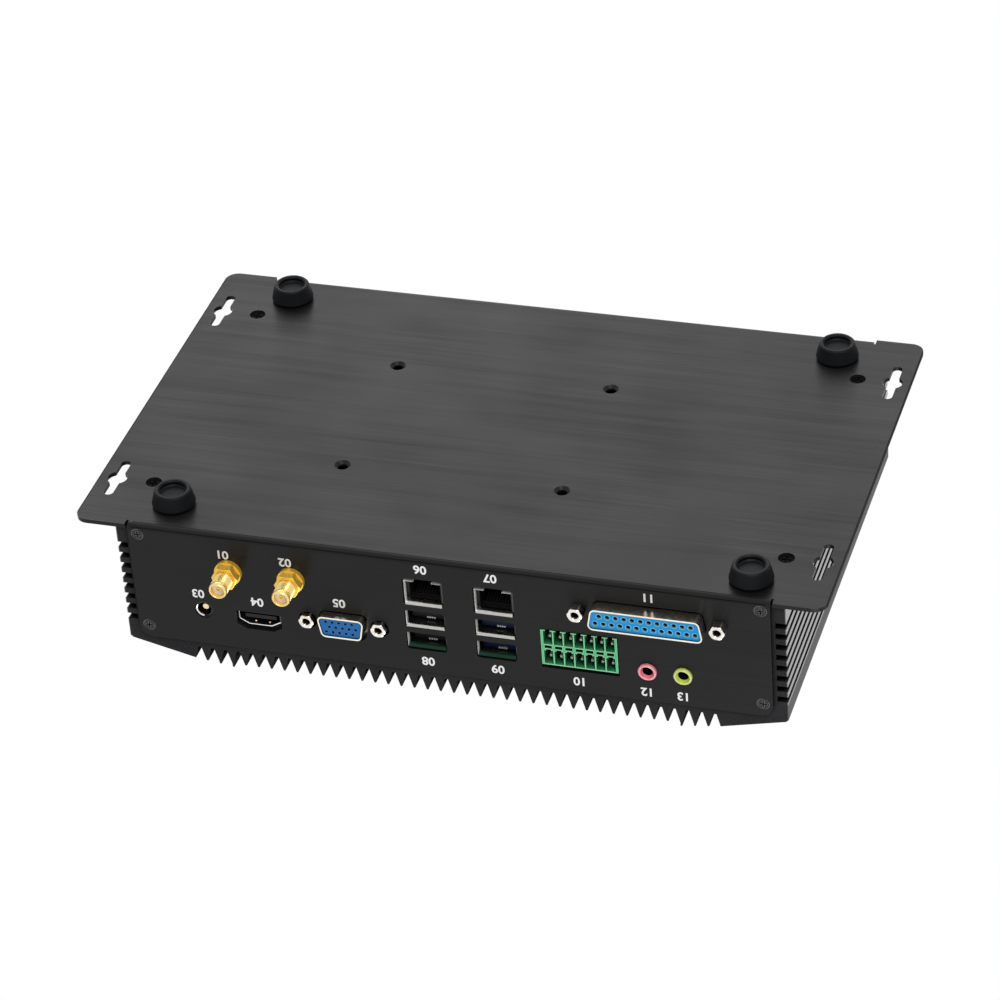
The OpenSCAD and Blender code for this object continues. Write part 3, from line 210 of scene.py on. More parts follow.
def smudged(nodes, links, place, level, depth):
    """Long smudges along the brushing raise the roughness."""
    stretch = nodes.new("ShaderNodeMapping")
    stretch.inputs["Scale"].default_value = (11, 170, 170)
    links.new(place, stretch.inputs["Vector"])
    streak = noise(nodes, links, stretch.outputs["Vector"], 1.0, 3.0)
    pick = nodes.new("ShaderNodeMapRange")
    pick.inputs["From Min"].default_value = 0.45
    pick.inputs["From Max"].default_value = 0.75
    pick.inputs["To Max"].default_value = depth
    links.new(streak, pick.inputs["Value"])
    total = nodes.new("ShaderNodeMath")
    links.new(level, total.inputs[0])
    links.new(pick.outputs["Result"], total.inputs[1])
    return total.outputs[0]


def outermost(nodes, links, place, centre, reach, top):
    """1 on the faces that lie furthest out along X, less of it above top, 0 elsewhere."""
    axes = nodes.new("ShaderNodeSeparateXYZ")
    links.new(place, axes.inputs["Vector"])
    middle = nodes.new("ShaderNodeMath")
    middle.operation = "SUBTRACT"
    middle.inputs[1].default_value = centre
    links.new(axes.outputs["X"], middle.inputs[0])
    away = nodes.new("ShaderNodeMath")
    away.operation = "ABSOLUTE"
    links.new(middle.outputs[0], away.inputs[0])
    pick = nodes.new("ShaderNodeMapRange")
    pick.inputs["From Min"].default_value = reach - 0.0004
    pick.inputs["From Max"].default_value = reach - 0.0001
    links.new(away.outputs[0], pick.inputs["Value"])
    fade = nodes.new("ShaderNodeMapRange")
    fade.inputs["From Min"].default_value = top
    fade.inputs["From Max"].default_value = top + 0.0003
    fade.inputs["To Min"].default_value = 1.0
    fade.inputs["To Max"].default_value = 0.5
    links.new(axes.outputs["Z"], fade.inputs["Value"])
    both = nodes.new("ShaderNodeMath")
    both.operation = "MULTIPLY"
    links.new(pick.outputs["Result"], both.inputs[0])
    links.new(fade.outputs["Result"], both.inputs[1])
    return both.outputs[0]


def mixed(nodes, links, share, first, second, kind):
    """first where share is 0 and second, a constant, where it is 1."""
    mix = nodes.new("ShaderNodeMix")
    mix.data_type = kind
    links.new(share, mix.inputs["Factor"])
    ends = [socket for socket in mix.inputs if socket.enabled and socket.name in "AB"]
    links.new(first, ends[0])
    ends[1].default_value = second
    return next(socket for socket in mix.outputs if socket.enabled)


def surface(name, colour, rough, metal=0.0, grain=(900, 900, 900), rough_spread=0.1, colour_spread=0.12, bump=0.1,
            bump_depth=0.00004, specular=0.5, coat=0.0, edge=None, edge_radius=0.0002, hollow_shade=None, hollow_depth=0.003,
            brushed=0.0, smudges=0.0, sides=None):
    """One principled surface whose grain drives its colour, roughness and bump. grain is per metre along X, Y, Z.
    brushed is the anisotropy of a finish brushed along X, smudges the spread of roughness along it, and sides the
    middle, reach, top, roughness, colour and metal share of the outermost faces along X, rubbed smooth or sawn rough."""
    material = bpy.data.materials.new(name)
    material.use_nodes = True
    nodes, links = material.node_tree.nodes, material.node_tree.links
    shader = nodes["Principled BSDF"]
    shader.inputs["Metallic"].default_value = metal
    shader.inputs["Specular IOR Level"].default_value = specular
    shader.inputs["Coat Weight"].default_value = coat
    place = nodes.new("ShaderNodeTexCoord").outputs["Object"]
    stretch = nodes.new("ShaderNodeMapping")
    stretch.inputs["Scale"].default_value = grain
    links.new(place, stretch.inputs["Vector"])
    fine = noise(nodes, links, stretch.outputs["Vector"], 1.0, 4.0)
    wide = noise(nodes, links, place, 28.0, 2.0)
    tone = nodes.new("ShaderNodeMix")
    tone.data_type = "FLOAT"
    tone.inputs["Factor"].default_value = 0.4
    links.new(fine, tone.inputs["A"])
    links.new(wide, tone.inputs["B"])
    tone = tone.outputs["Result"]

    dark = tuple(c * (1 - colour_spread) for c in colour)
    light = tuple(min(1.0, c * (1 + colour_spread)) for c in colour)
    shade = ramp(nodes, links, tone, 0.3, 0.7, dark, light)
    # Painted highlight: the edge colour is painted along sharp edges, within edge_radius
    if edge:
        shade = painted_edge_highlight(nodes, links, shade, edge, edge_radius)
    # Painted shade: the colour falls to the hollow colour where walls stand close, within hollow_depth
    if hollow_shade:
        shade = painted_hollow_shade(nodes, links, shade, hollow_depth, hollow_shade)
    if sides:
        rim = outermost(nodes, links, place, *sides[:3])
        shade = mixed(nodes, links, rim, shade, (*sides[4], 1.0), "RGBA")
        bare = nodes.new("ShaderNodeMath")
        bare.operation = "MULTIPLY"
        bare.inputs[1].default_value = sides[5]
        links.new(rim, bare.inputs[0])
        links.new(bare.outputs[0], shader.inputs["Metallic"])
    links.new(shade, shader.inputs["Base Color"])

    spread = nodes.new("ShaderNodeMapRange")
    spread.inputs["From Min"].default_value = 0.3
    spread.inputs["From Max"].default_value = 0.7
    spread.inputs["To Min"].default_value = max(0.02, rough - rough_spread)
    spread.inputs["To Max"].default_value = rough + rough_spread
    links.new(tone, spread.inputs["Value"])
    level = spread.outputs["Result"]
    if smudges:
        level = smudged(nodes, links, place, level, smudges)
    if sides:
        level = mixed(nodes, links, rim, level, sides[3], "FLOAT")
    links.new(level, shader.inputs["Roughness"])
    if brushed:
        shader.inputs["Anisotropic"].default_value = brushed
        shader.inputs["Anisotropic Rotation"].default_value = 0.25
        along = nodes.new("ShaderNodeCombineXYZ")
        along.inputs["X"].default_value = 1.0
        links.new(along.outputs["Vector"], shader.inputs["Tangent"])

    relief = nodes.new("ShaderNodeBump")
    relief.inputs["Strength"].default_value = bump
    relief.inputs["Distance"].default_value = bump_depth
    links.new(fine, relief.inputs["Height"])
    links.new(relief.outputs["Normal"], shader.inputs["Normal"])
    return material


SURFACES = {
    "anodised_pan": dict(colour=(0.006, 0.006, 0.0064), rough=0.36, grain=(14, 2600, 2600), rough_spread=0.1,
                         colour_spread=0.35, bump=0.3, specular=0.2, edge=(0.04, 0.04, 0.042), brushed=0.75,
                         smudges=0.06, sides=(0.0, PLATE_HALF, 1.0, 0.95, (0.001, 0.001, 0.001), 0.0)),
    "anodised_cover": dict(colour=(0.034, 0.034, 0.036), rough=0.7, grain=(1800, 9, 1800), colour_spread=0.3,
                           bump=0.15, specular=0.0, hollow_shade=(0.0003, 0.0003, 0.0003), hollow_depth=0.005,
                           sides=(CASE_SHIFT * MM, COVER_HALF, GROOVES_END, 0.24, (0.2, 0.2, 0.2), 1.0)),
    "black_steel": dict(colour=(0.0018, 0.0018, 0.002), rough=0.6, grain=(2500, 2500, 2500), specular=0.03),
    "dark_steel": dict(colour=(0.03, 0.03, 0.03), rough=0.25, metal=0.7, grain=(2500, 2500, 2500),
                       edge=(0.35, 0.35, 0.35), edge_radius=0.0002, hollow_shade=(0.001, 0.001, 0.001), hollow_depth=0.001),
    "foot_rubber": dict(colour=(0.0045, 0.005, 0.0065), rough=0.5, grain=(3500, 3500, 3500), bump=0.4, specular=0.12,
                        hollow_shade=(0.001, 0.001, 0.001), hollow_depth=0.006),
    "gold": dict(colour=(1.0, 0.62, 0.08), rough=0.3, metal=0.5, grain=(900, 3000, 900), rough_spread=0.05,
                 colour_spread=0.06),
    "pale_gold": dict(colour=(1.0, 0.72, 0.28), rough=0.24, metal=0.6, grain=(900, 3000, 900), rough_spread=0.05,
                      colour_spread=0.06),
    "nickel": dict(colour=(0.84, 0.81, 0.75), rough=0.13, metal=1.0, grain=(1200, 1200, 1200), rough_spread=0.05,
                   hollow_shade=(0.12, 0.08, 0.04), hollow_depth=0.0012),
    "warm_nickel": dict(colour=(0.95, 0.87, 0.74), rough=0.22, metal=1.0, grain=(1200, 1200, 1200), rough_spread=0.05,
                        hollow_shade=(0.03, 0.02, 0.01), hollow_depth=0.006),
    # Painted shade: a dark copy of nickel for the socket shells and the inlet's sleeve
    "shaded_nickel": dict(colour=(0.07, 0.07, 0.07), rough=0.3, metal=0.9, grain=(1200, 1200, 1200)),
    "lip_nickel": dict(colour=(0.5, 0.49, 0.46), rough=0.2, metal=1.0, grain=(1200, 1200, 1200), rough_spread=0.05),
    "post_nickel": dict(colour=(0.86, 0.82, 0.74), rough=0.16, metal=1.0, grain=(1200, 1200, 1200), rough_spread=0.05,
                        hollow_shade=(0.012, 0.007, 0.002), hollow_depth=0.0032),
    # Painted shade: a darkened metal for the contacts in the VGA holes
    "contact_rim": dict(colour=(0.25, 0.3, 0.4), rough=0.25, metal=0.8, hollow_shade=(0.0005, 0.001, 0.002),
                        hollow_depth=0.0012),
    "bright_nickel": dict(colour=(0.92, 0.9, 0.86), rough=0.14, metal=1.0, grain=(1200, 1200, 1200), rough_spread=0.05),
    "white_plastic": dict(colour=(0.85, 0.74, 0.54), rough=0.4),
    "black_plastic": dict(colour=(0.004, 0.004, 0.0042), rough=0.42, grain=(4000, 4000, 4000), specular=0.3),
    "blue_plastic": dict(colour=(0.005, 0.14, 0.43), rough=0.38, grain=(3000, 3000, 3000), specular=0.3,
                         hollow_shade=(0.002, 0.01, 0.05), hollow_depth=0.0015),
    "light_blue_plastic": dict(colour=(0.004, 0.31, 0.74), rough=0.38, grain=(3000, 3000, 3000), specular=0.3,
                               edge=(0.12, 0.5, 0.8), edge_radius=0.00015, hollow_shade=(0.0, 0.01, 0.035),
                               hollow_depth=0.0015),
    # Painted highlight: a paler copy of the insert's blue for the lead-in collars round the parallel port's holes
    "highlight_blue_plastic": dict(colour=(0.34, 0.8, 1.0), rough=0.34, grain=(3000, 3000, 3000),
                              hollow_shade=(0.0, 0.006, 0.02), hollow_depth=0.0018),
    # Painted shade: the blue is darkened towards black for the tongues inside the data ports
    "deep_blue_plastic": dict(colour=(0.002, 0.012, 0.055), rough=0.4, grain=(3000, 3000, 3000), specular=0.3),
    "green_plastic": dict(colour=(0.06, 0.52, 0.2), rough=0.35, grain=(3000, 3000, 3000), edge=(0.42, 0.92, 0.55),
                          edge_radius=0.0005, hollow_shade=(0.0, 0.012, 0.004), hollow_depth=0.004),
    "pink_plastic": dict(colour=(0.95, 0.2, 0.26), rough=0.3, grain=(3000, 3000, 3000), edge=(1.0, 0.9, 0.92),
                         edge_radius=0.0009),
    "yellow_plastic": dict(colour=(0.6, 0.7, 0.06), rough=0.3, grain=(3000, 3000, 3000), edge=(0.98, 0.99, 0.76),
                           edge_radius=0.0009),
    "board": dict(colour=(0.004, 0.085, 0.032), rough=0.35, grain=(400, 400, 400), colour_spread=0.4, coat=0.3),
    "board_edge": dict(colour=(0.002, 0.028, 0.013), rough=0.4, grain=(400, 400, 400), specular=0.2),
    "bright_steel": dict(colour=(0.56, 0.56, 0.57), rough=0.32, metal=1.0),
    "bare_aluminium": dict(colour=(0.62, 0.63, 0.65), rough=0.35, metal=1.0, grain=(2000, 60, 2000)),
    "grey_pad": dict(colour=(0.3, 0.31, 0.34), rough=0.6),
    "chip_black": dict(colour=(0.02, 0.02, 0.021), rough=0.5, grain=(3000, 3000, 3000), bump=0.3),
    "lead_black": dict(colour=(0.015, 0.015, 0.016), rough=0.5),
    "ribbon_grey": dict(colour=(0.3, 0.3, 0.32), rough=0.5, grain=(1600, 10, 10), colour_spread=0.25, bump=0.5),
    "button_metal": dict(colour=(0.3, 0.3, 0.31), rough=0.46, metal=1.0, grain=(2500, 60, 2500)),
    "lens_clear": dict(colour=(0.42, 0.46, 0.5), rough=0.2, coat=0.4),
    # Tinned metal for the pins and contact tips, and a painted highlight: its near white stands for light on the socket
    # and inlet rims
    "tin_and_rim_highlight": dict(colour=(0.92, 0.9, 0.86), rough=0.3, metal=0.4),
    "white_ink": dict(colour=(0.96, 0.96, 0.96), rough=0.5, grain=(6000, 6000, 6000), colour_spread=0.04, specular=0.2),
    # Painted shade: the network contacts darkened to near black inside their sockets
    "shade_dark_contact": dict(colour=(0.02, 0.019, 0.017), rough=0.5, metal=0.5, hollow_shade=(0.002, 0.002, 0.002),
                         hollow_depth=0.006),
    # Painted shade: the near black of the dark strips on the rear bend
    "bend_shade_dark": dict(colour=(0.008, 0.008, 0.008), rough=0.7, grain=(900, 4000, 4000), colour_spread=0.6, specular=0.05),
    "golden_pin": dict(colour=(0.9, 0.72, 0.4), rough=0.2, metal=1.0),
}
# Nodes that look different from the rest of their slot
NODE_LOOKS = {"lan_contacts": "shade_dark_contact", "inlet_pin": "golden_pin", "inlet_sleeve": "shaded_nickel",
              "terminal_pins": "tin_and_rim_highlight",
              "vga_shell": "warm_nickel", "lpt_shell": "warm_nickel", "video_shell": "shaded_nickel",
              "stack_shell_1": "shaded_nickel", "stack_shell_2": "shaded_nickel"}


def dress_nodes():
    made = {name: surface(name, **look) for name, look in SURFACES.items()}
    for part in frame["record"]["subparts"]:
        target = NODES[part["node"]]
        material = made[NODE_LOOKS.get(part["node"], part["material_slot"])]
        if not target.material_slots:
            target.data.materials.append(material)
        for slot in target.material_slots:
            slot.material = material
    return made


# Pieces on the rear panel. A shape is built in millimetres: across, up from the plate's outer face, out of the panel.

class Shape:
    def __init__(self):
        self.points = []
        self.faces = []

    def add(self, points, faces):
        start = len(self.points)
        self.points += [((x + CASE_SHIFT) * MM, (REAR_Y + out) * MM, (PLATE_Z + up) * MM) for x, up, out in points]
        self.faces += [tuple(start + i for i in face) for face in faces]

    def loops(self, rings, closed_ends=True):
        """Joins rings of the same number of points, one after the other."""
        count = len(rings[0])
        faces = []
        for k in range(len(rings) - 1):
            for i in range(count):
                j = (i + 1) % count
                faces.append((k * count + i, k * count + j, (k + 1) * count + j, (k + 1) * count + i))
        if closed_ends:
            faces.append(tuple(reversed(range(count))))
            faces.append(tuple((len(rings) - 1) * count + i for i in range(count)))
        self.add([point for ring in rings for point in ring], faces)

    def turned(self, place, profile, steps=32, closed_ends=True):
        """A profile of (out, radius) turned about the axis through place = (across, up)."""
        x, up = place
        rings = []
        for out, radius in profile:
            rings.append([(x + radius * math.cos(2 * math.pi * i / steps), up + radius * math.sin(2 * math.pi * i / steps),
                           out) for i in range(steps)])
        self.loops(rings, closed_ends)

    def block(self, x, up, out, width, height, depth, round_by=0.0):
        """A block with rounded front edges, its middle at x and up, its front face at out."""
        rings = []
        for back, inset in ((0.0, round_by), (round_by * 0.3, round_by * 0.3), (round_by, 0.0), (depth, 0.0)):
            w, h = width / 2 - inset, height / 2 - inset
            rings.append([(x + sx * w, up + sy * h, out - back) for sx, sy in ((-1, -1), (1, -1), (1, 1), (-1, 1))])
        self.loops(rings)


def piece(name, shape, material, replaced=(), smooth_angle=40.0):
    mesh = bpy.data.meshes.new(name)
    mesh.from_pydata(shape.points, [], shape.faces)
    work = bmesh.new()
    work.from_mesh(mesh)
    bmesh.ops.recalc_face_normals(work, faces=work.faces)
    for edge in work.edges:
        edge.smooth = len(edge.link_faces) == 2 and edge.calc_face_angle(0.0) < math.radians(smooth_angle)
    for face in work.faces:
        face.smooth = True
    work.to_mesh(mesh)
    work.free()
    made = bpy.data.objects.new(name, mesh)
    bpy.context.collection.objects.link(made)
    mesh.materials.append(material)
    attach(made, "case")
    if replaced:
        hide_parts(*replaced)
    return made


ANTENNAS = ((-74.6, 14.3), (-52.7, 14.3))
BARREL_R = 3.17
BARREL_ROOT_R = 2.8
BARREL_FLAT = 2.8
THREAD_PITCH = 0.7
THREAD_FROM, THREAD_TO = 5.0, 9.6
COLLAR_FROM = 10.0
TIP = 11.5
MOUTH_R, MOUTH_D = 2.35, 2.4


def barrel_radius(out, turn):
    """Radius of the threaded part: a rounded ridge that climbs one pitch a turn."""
    phase = (out / THREAD_PITCH + turn) % 1.0
    ridge = 1 - abs(2 * phase - 1)
    return BARREL_ROOT_R + (BARREL_R - BARREL_ROOT_R) * min(1.0, max(0.0, 1.25 * ridge - 0.1))


def antenna_barrel(index):
    x, up = ANTENNAS[index]
    steps = 56
    shape = Shape()
    rings = []
    plain = [(-9.0, 2.0), (-3.0, 2.0), (-3.0, 4.0), (-1.5, 4.0), (-1.5, 2.95), (THREAD_FROM, 2.95)]
    for out, radius in plain:
        rings.append((out, [radius] * steps, radius < 3.5))
    out = THREAD_FROM
    while out < THREAD_TO:
        rings.append((out, [barrel_radius(out, i / steps) for i in range(steps)], True))
        out += THREAD_PITCH / 10
    tip = [(THREAD_TO, 2.75), (COLLAR_FROM, 2.75), (COLLAR_FROM, BARREL_R - 0.3), (COLLAR_FROM + 0.3, BARREL_R),
           (TIP - 0.7, BARREL_R), (TIP - 0.25, BARREL_R - 0.2), (TIP, BARREL_R - 0.4), (TIP, MOUTH_R + 0.12),
           (TIP - 0.12, MOUTH_R), (TIP - MOUTH_D, MOUTH_R)]
    for out, radius in tip:
        rings.append((out, [radius] * steps, out < COLLAR_FROM))
    loops = []
    for out, radii, flat in rings:
        loop = []
        for i, radius in enumerate(radii):
            angle = 2 * math.pi * i / steps
            across, rise = radius * math.cos(angle), radius * math.sin(angle)
            if flat:
                rise = max(rise, -BARREL_FLAT)
            loop.append((x + across, up + rise, out))
        loops.append(loop)
    shape.loops(loops)
    return shape


def antenna_discs():
    disc, pin = Shape(), Shape()
    for place in ANTENNAS:
        disc.turned(place, [(TIP - MOUTH_D, 2.3), (TIP - 1.5, 2.3), (TIP - 1.4, 2.2), (TIP - 1.4, 0.62), (TIP - 1.7, 0.62)])
        pin.turned(place, [(TIP - 1.7, 0.6), (TIP - 1.2, 0.6), (TIP - 1.1, 0.5), (TIP - 1.1, 0.3), (TIP - 1.7, 0.3)])
    return disc, pin


VGA, VGA_REACH = (-35.9, 29.7), 3.4
LPT, LPT_REACH = (68.8, 11.6), 5.1
INSERT_SINK = 0.4


def vga_holes():
    for row in (-1, 0, 1):
        for i in range(5):
            yield VGA[0] + (i - 2 + 0.25 * (1 if row == 0 else -1)) * 2.29, VGA[1] + row * 1.98


def lpt_holes():
    for row in (0, 1):
        for i in range(13 - row):
            yield LPT[0] + (i - (12 - row) / 2) * 2.76, LPT[1] + (0.5 - row) * 2.84


def funnels(places, front, hole, throat, depth, collar=0.0):
    """Lead-ins whose wide end is level with the insert's face, or stands on it as a collar of that width."""
    shape = Shape()
    for place in places:
        inside = [(front - depth, throat), (front - depth - 1.4, throat)]
        rim = [(front, hole - 0.02), (front, hole - 0.06)]
        if collar:
            rim = [(front - 0.02, hole - 0.02), (front - 0.02, hole + collar), (front + 0.1, hole + collar - 0.08),
                   (front + 0.1, hole + collar - 0.14)]
        shape.turned(place, [(front - depth - 1.5, hole - 0.02)] + rim + inside, 20)
    return shape


STACKS = (-7.4, 16.6)
DATA_PORTS = (24.2, 33.0)
TONGUE_RISE = 0.9
TONGUE_FRONT = -4.0


def tongue_contacts():
    """Four flat contacts on the lower face of each tongue, ending short of its front edge."""
    shape = Shape()
    for x in STACKS:
        for up in DATA_PORTS:
            low = up + TONGUE_RISE - 0.95
            for across in (-3.5, -1.0, 1.0, 3.5):
                shape.block(x + across, low - 0.06, TONGUE_FRONT - 0.7, 1.0, 0.12, 7.0)
    return shape


def port_springs():
    """Bent springs that stand out of the wall below each tongue, two to a port."""
    shape = Shape()
    for x in STACKS:
        for up in DATA_PORTS:
            low = up - 2.45
            for across in (-3.0, 3.0):
                rings = []
                for out, rise in ((-3.2, 0.05), (-4.6, 0.55), (-5.8, 0.75), (-7.0, 0.55), (-9.0, 0.05)):
                    rings.append([(x + across - 1.1, low + rise, out), (x + across + 1.1, low + rise, out),
                                  (x + across + 1.1, low + rise - 0.18, out), (x + across - 1.1, low + rise - 0.18, out)])
                shape.loops(rings)
    return shape


def lip(shape, x, inner, outer, sides, notch=0.0, deep=-1.5):
    """A flared rim from the socket's mouth out to the window in the panel. inner and outer are (width, low, high),
    sides are those that carry a lip, and notch is the width left open at the low side."""
    proud = -0.12
    w, low, high = inner[0] / 2, inner[1], inner[2]
    ww, wlow, whigh = outer[0] / 2, outer[1], outer[2]
    spans = {"left": [(-w, low), (-w, high), (-ww, whigh), (-ww, wlow)],
             "right": [(w, low), (w, high), (ww, whigh), (ww, wlow)],
             "high": [(-w, high), (w, high), (ww, whigh), (-ww, whigh)]}
    if notch:
        spans["low_1"] = [(-w, low), (-notch / 2, low), (-notch / 2, wlow), (-ww, wlow)]
        spans["low_2"] = [(notch / 2, low), (w, low), (ww, wlow), (notch / 2, wlow)]
    else:
        spans["low"] = [(-w, low), (w, low), (ww, wlow), (-ww, wlow)]
    for side, ((ax, ah), (bx, bh), (cx, ch), (dx, dh)) in spans.items():
        if side.split("_")[0] not in sides:
            continue
        rings = []
        for share in (0.0, 0.25, 0.5, 0.75, 1.0):
            out = deep + (proud - deep) * math.sin(share * math.pi / 2)
            push = 1 - math.cos(share * math.pi / 2)
            rings.append([(x + ax + (dx - ax) * push, ah + (dh - ah) * push, out),
                          (x + bx + (cx - bx) * push, bh + (ch - bh) * push, out),
                          (x + cx, ch, out), (x + dx, dh, out)])
        shape.loops(rings)


def stack_lips():
    """Painted highlights: bright rims on the sockets' left sides and the network sockets' low sides; the flatter ones
    below them, and the board's edge below the lower ports.
    """
    highlight_rims, flat, board = Shape(), Shape(), Shape()
    for x in STACKS:
        lip(highlight_rims, x, (12.0, 9.6, 18.0), (12.45, 9.0, 18.65), ("left",))
        lip(highlight_rims, x, (12.0, 9.6, 18.0), (12.7, 9.1, 18.65), ("low",), 6.2)
        lip(flat, x, (12.0, 9.6, 17.5), (12.7, 9.0, 18.65), ("high",), deep=-3.0)
        for low, high in ((21.75, 26.65), (30.55, 34.8)):
            lip(highlight_rims, x, (12.5, low, low + 4.9), (12.95, low - 0.45, low + 5.2), ("left",))
            lip(flat if low < 30 else board, x, (12.5, low, high), (13.2, low - 0.45, high + 1.0), ("high",))
    return highlight_rims, flat, board


INLET = (-85.2, 31.6)


# Painted highlight: a bright arc round one side of the inlet's mouth
def inlet_highlight_arc():
    shape = Shape()
    section = [(-0.75, 2.84), (-0.34, 2.84), (-0.34, 2.78), (-0.55, 2.47), (-0.75, 2.47)]
    turns = [math.radians(95 + 6 * i) for i in range(21)]
    shape.loops([[(INLET[0] + r * math.cos(turn), INLET[1] + r * math.sin(turn), out) for out, r in section]
                 for turn in turns])
    return shape


BEND_R = 2.0


def painted_bend_shade():
    """Painted shade: fine dark strips laid over the rear bend where it starts and near its end."""
    shape = Shape()
    for start, stop in ((-4.0, 4.0), (55.0, 66.0)):
        inner, outer = [], []
        for share in (0.0, 0.33, 0.67, 1.0):
            angle = math.radians(start + (stop - start) * share)
            for loop, radius in ((inner, BEND_R - 0.01), (outer, BEND_R + 0.012)):
                loop.append((BEND_R - radius * math.cos(angle), -BEND_R + radius * math.sin(angle)))
        section = inner + outer[::-1]
        shape.loops([[(x, up, out) for up, out in section] for x in (-107.5, 107.5)])
    return shape


VIDEO = (-65.8, 33.0)


def video_lip():
    """A thin bright rim round the video port's left, chamfered and upper sides."""
    shape = Shape()
    inner = [(-7.05, -2.3), (-7.05, 0.5), (-3.85, 2.3), (3.85, 2.3), (7.05, 0.5)]
    outer = [(-7.4, -2.3), (-7.4, 0.71), (-3.95, 2.65), (3.95, 2.65), (7.4, 0.71)]
    shape.loops([[(VIDEO[0] + x, VIDEO[1] + up, out) for (x, up), out in
                  ((a, -1.05), (b, -1.05), (b, -0.92), (a, -0.86))] for a, b in zip(inner, outer)])
    return shape


def video_springs():
    shape = Shape()
    for across in (-2.0, 2.9):
        shape.turned((VIDEO[0] + across, VIDEO[1] + 2.05), [(-4.0, 0.45), (-2.2, 0.45), (-1.95, 0.3), (-1.85, 0.1)], 16)
    return shape


# Painted shade: black strips in front of the board's edge, below the video port and the small connector

BOARD_H = 35.7


def painted_board_shade():
    shape = Shape()
    for x, width in ((VIDEO[0], 17.5), (VGA[0], 19.5)):
        shape.block(x, BOARD_H + 0.8, -1.7, width, 2.0, 0.25)
    return shape


def contact_combs():
    """Tips of the sprung contacts, bent down at the front of each tongue."""
    shape = Shape()
    for x in STACKS:
        for up in DATA_PORTS:
            for i in range(4):
                shape.block(x + 1.0 + (i - 1.5) * 0.78, up + 1.5, -3.6, 0.6, 0.55, 1.2, 0.12)
    return shape


AUDIO = ((67.6, 33.5), (79.5, 33.5))


# Painted shade: thin black sleeves inside the audio jacks' bores
def audio_bore_shade():
    shape = Shape()
    for place in AUDIO:
        shape.turned(place, [(-12.0, 1.79), (-0.2, 1.79), (-0.2, 1.7), (-11.9, 1.7)], 32)
    return shape


POSTS = [(VGA[0] + side * 12.495, VGA[1], 2.2, -2.4) for side in (-1, 1)]
POSTS += [(LPT[0] + side * 23.52, LPT[1], 4.3, 0.0) for side in (-1, 1)]
POST_W = 4.9


def hexagon_posts():
    """Hexagon posts with a chamfered face and a threaded bore."""
    shape = Shape()
    steps = 48
    for x, up, reach, foot in POSTS:
        outside = [(foot, 9.0), (reach - 0.45, 9.0), (reach - 0.2, 2.62), (reach, 2.3)]
        bore = [(reach, 1.62), (reach - 0.3, 1.3)]
        bore += [(reach - 0.3 - 0.2 * k, 1.3 if k % 2 else 1.42) for k in range(1, 16)]
        rings = []
        for out, cone in outside:
            rings.append((out, [min(cone, post_side(2 * math.pi * i / steps)) for i in range(steps)]))
        for out, radius in bore:
            rings.append((out, [radius] * steps))
        shape.loops([[(x + r * math.cos(2 * math.pi * i / steps), up + r * math.sin(2 * math.pi * i / steps), out)
                      for i, r in enumerate(radii)] for out, radii in rings])
        shape.turned((x, up), [(foot - 5.0, 1.4), (foot, 1.4)], 24)
    return shape


def post_side(angle):
    """Distance from the axis to the hexagon's side; a corner points along X."""
    from_middle = (angle + math.pi / 6) % (math.pi / 3) - math.pi / 6
    return POST_W / 2 / math.cos(math.pi / 6 - abs(from_middle))


# Plain numbers beside the ports: place across and up, read when the case stands on its feet
NUMBERS = ((-76.3, 7.6), (-54.4, 7.6), (-86.6, 24.9), (-65.8, 25.4), (-36.9, 21.6), (-7.6, 3.75), (16.2, 3.75),
           (-7.4, 40.9), (16.6, 40.5), (44.5, 41.2), (69.0, 3.75), (67.2, 41.9), (79.3, 41.9))
NUMBER_SIZE = 4.5
NUMBER_WEIGHT = 0.11
INK_T = 0.03


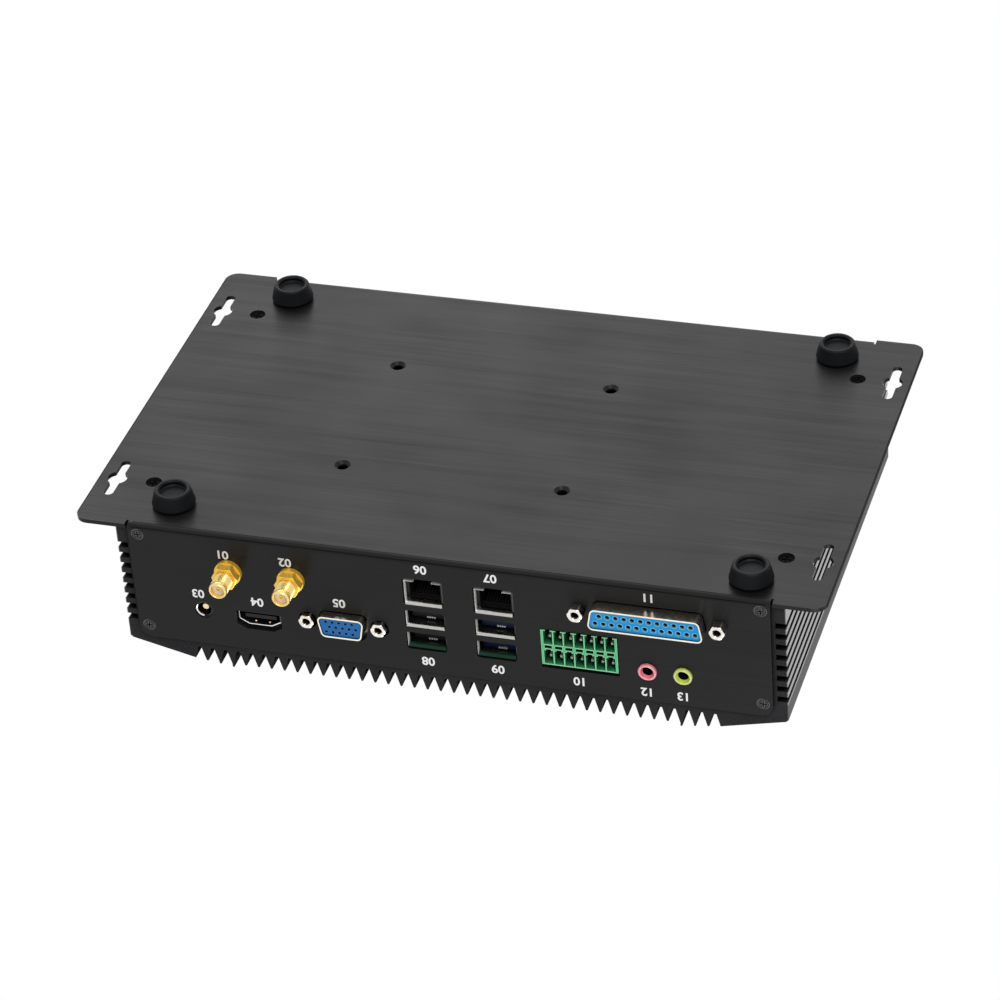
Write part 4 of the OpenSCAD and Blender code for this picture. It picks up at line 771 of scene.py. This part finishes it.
def port_numbers():
    shape = Shape()
    for index, (x, up) in enumerate(NUMBERS):
        text = bpy.data.curves.new("digits", "FONT")
        text.body = f"{index + 1:02d}"
        text.align_x = "CENTER"
        text.align_y = "CENTER"
        text.size = NUMBER_SIZE
        text.extrude = INK_T
        text.offset = NUMBER_WEIGHT
        holder = bpy.data.objects.new("digits", text)
        bpy.context.collection.objects.link(holder)
        bpy.context.view_layer.update()
        mesh = bpy.data.meshes.new_from_object(holder.evaluated_get(bpy.context.evaluated_depsgraph_get()))
        shape.add([(x - v.co.x, up + v.co.y, v.co.z) for v in mesh.vertices], [tuple(f.vertices) for f in mesh.polygons])
        bpy.data.objects.remove(holder)
        bpy.data.curves.remove(text)
        bpy.data.meshes.remove(mesh)
    return shape


def add_pieces(looks):
    for index in (0, 1):
        node = f"antenna_jack_{index + 1}"
        piece(f"threaded_{node}", antenna_barrel(index), looks["pale_gold"], [node])
    disc, pin = antenna_discs()
    piece("antenna_discs", disc, looks["white_plastic"], ["antenna_cores"])
    piece("antenna_pins", pin, looks["gold"])
    vga = funnels(vga_holes(), VGA_REACH - INSERT_SINK, 0.55, 0.42, 0.3)
    piece("vga_contacts", vga, looks["contact_rim"])
    lpt = funnels(lpt_holes(), LPT_REACH - INSERT_SINK, 0.8, 0.7, 0.3, 0.26)
    piece("lpt_lead_ins", lpt, looks["highlight_blue_plastic"])
    highlight_rims, flat, board = stack_lips()
    piece("stack_lips", highlight_rims, looks["tin_and_rim_highlight"])
    piece("stack_floors", flat, looks["lip_nickel"])
    piece("board_lips", board, looks["board_edge"])
    piece("video_lip", video_lip(), looks["bright_nickel"])
    piece("inlet_highlight_arc", inlet_highlight_arc(), looks["tin_and_rim_highlight"])
    piece("painted_bend_shade", painted_bend_shade(), looks["bend_shade_dark"])
    piece("tongue_contacts", tongue_contacts(), looks["golden_pin"])
    piece("port_springs", port_springs(), looks["nickel"])
    piece("video_springs", video_springs(), looks["golden_pin"])
    piece("contact_combs", contact_combs(), looks["tin_and_rim_highlight"])
    piece("painted_board_shade", painted_board_shade(), looks["black_plastic"])
    piece("audio_bore_shade", audio_bore_shade(), looks["black_plastic"])
    piece("chamfered_posts", hexagon_posts(), looks["post_nickel"], ["hexagon_posts"])
    piece("port_numbers", port_numbers(), looks["white_ink"])


make_camera()
make_world()
make_lights()
make_floor()
add_pieces(dress_nodes())

bpy.context.scene.view_settings.view_transform = "Standard"
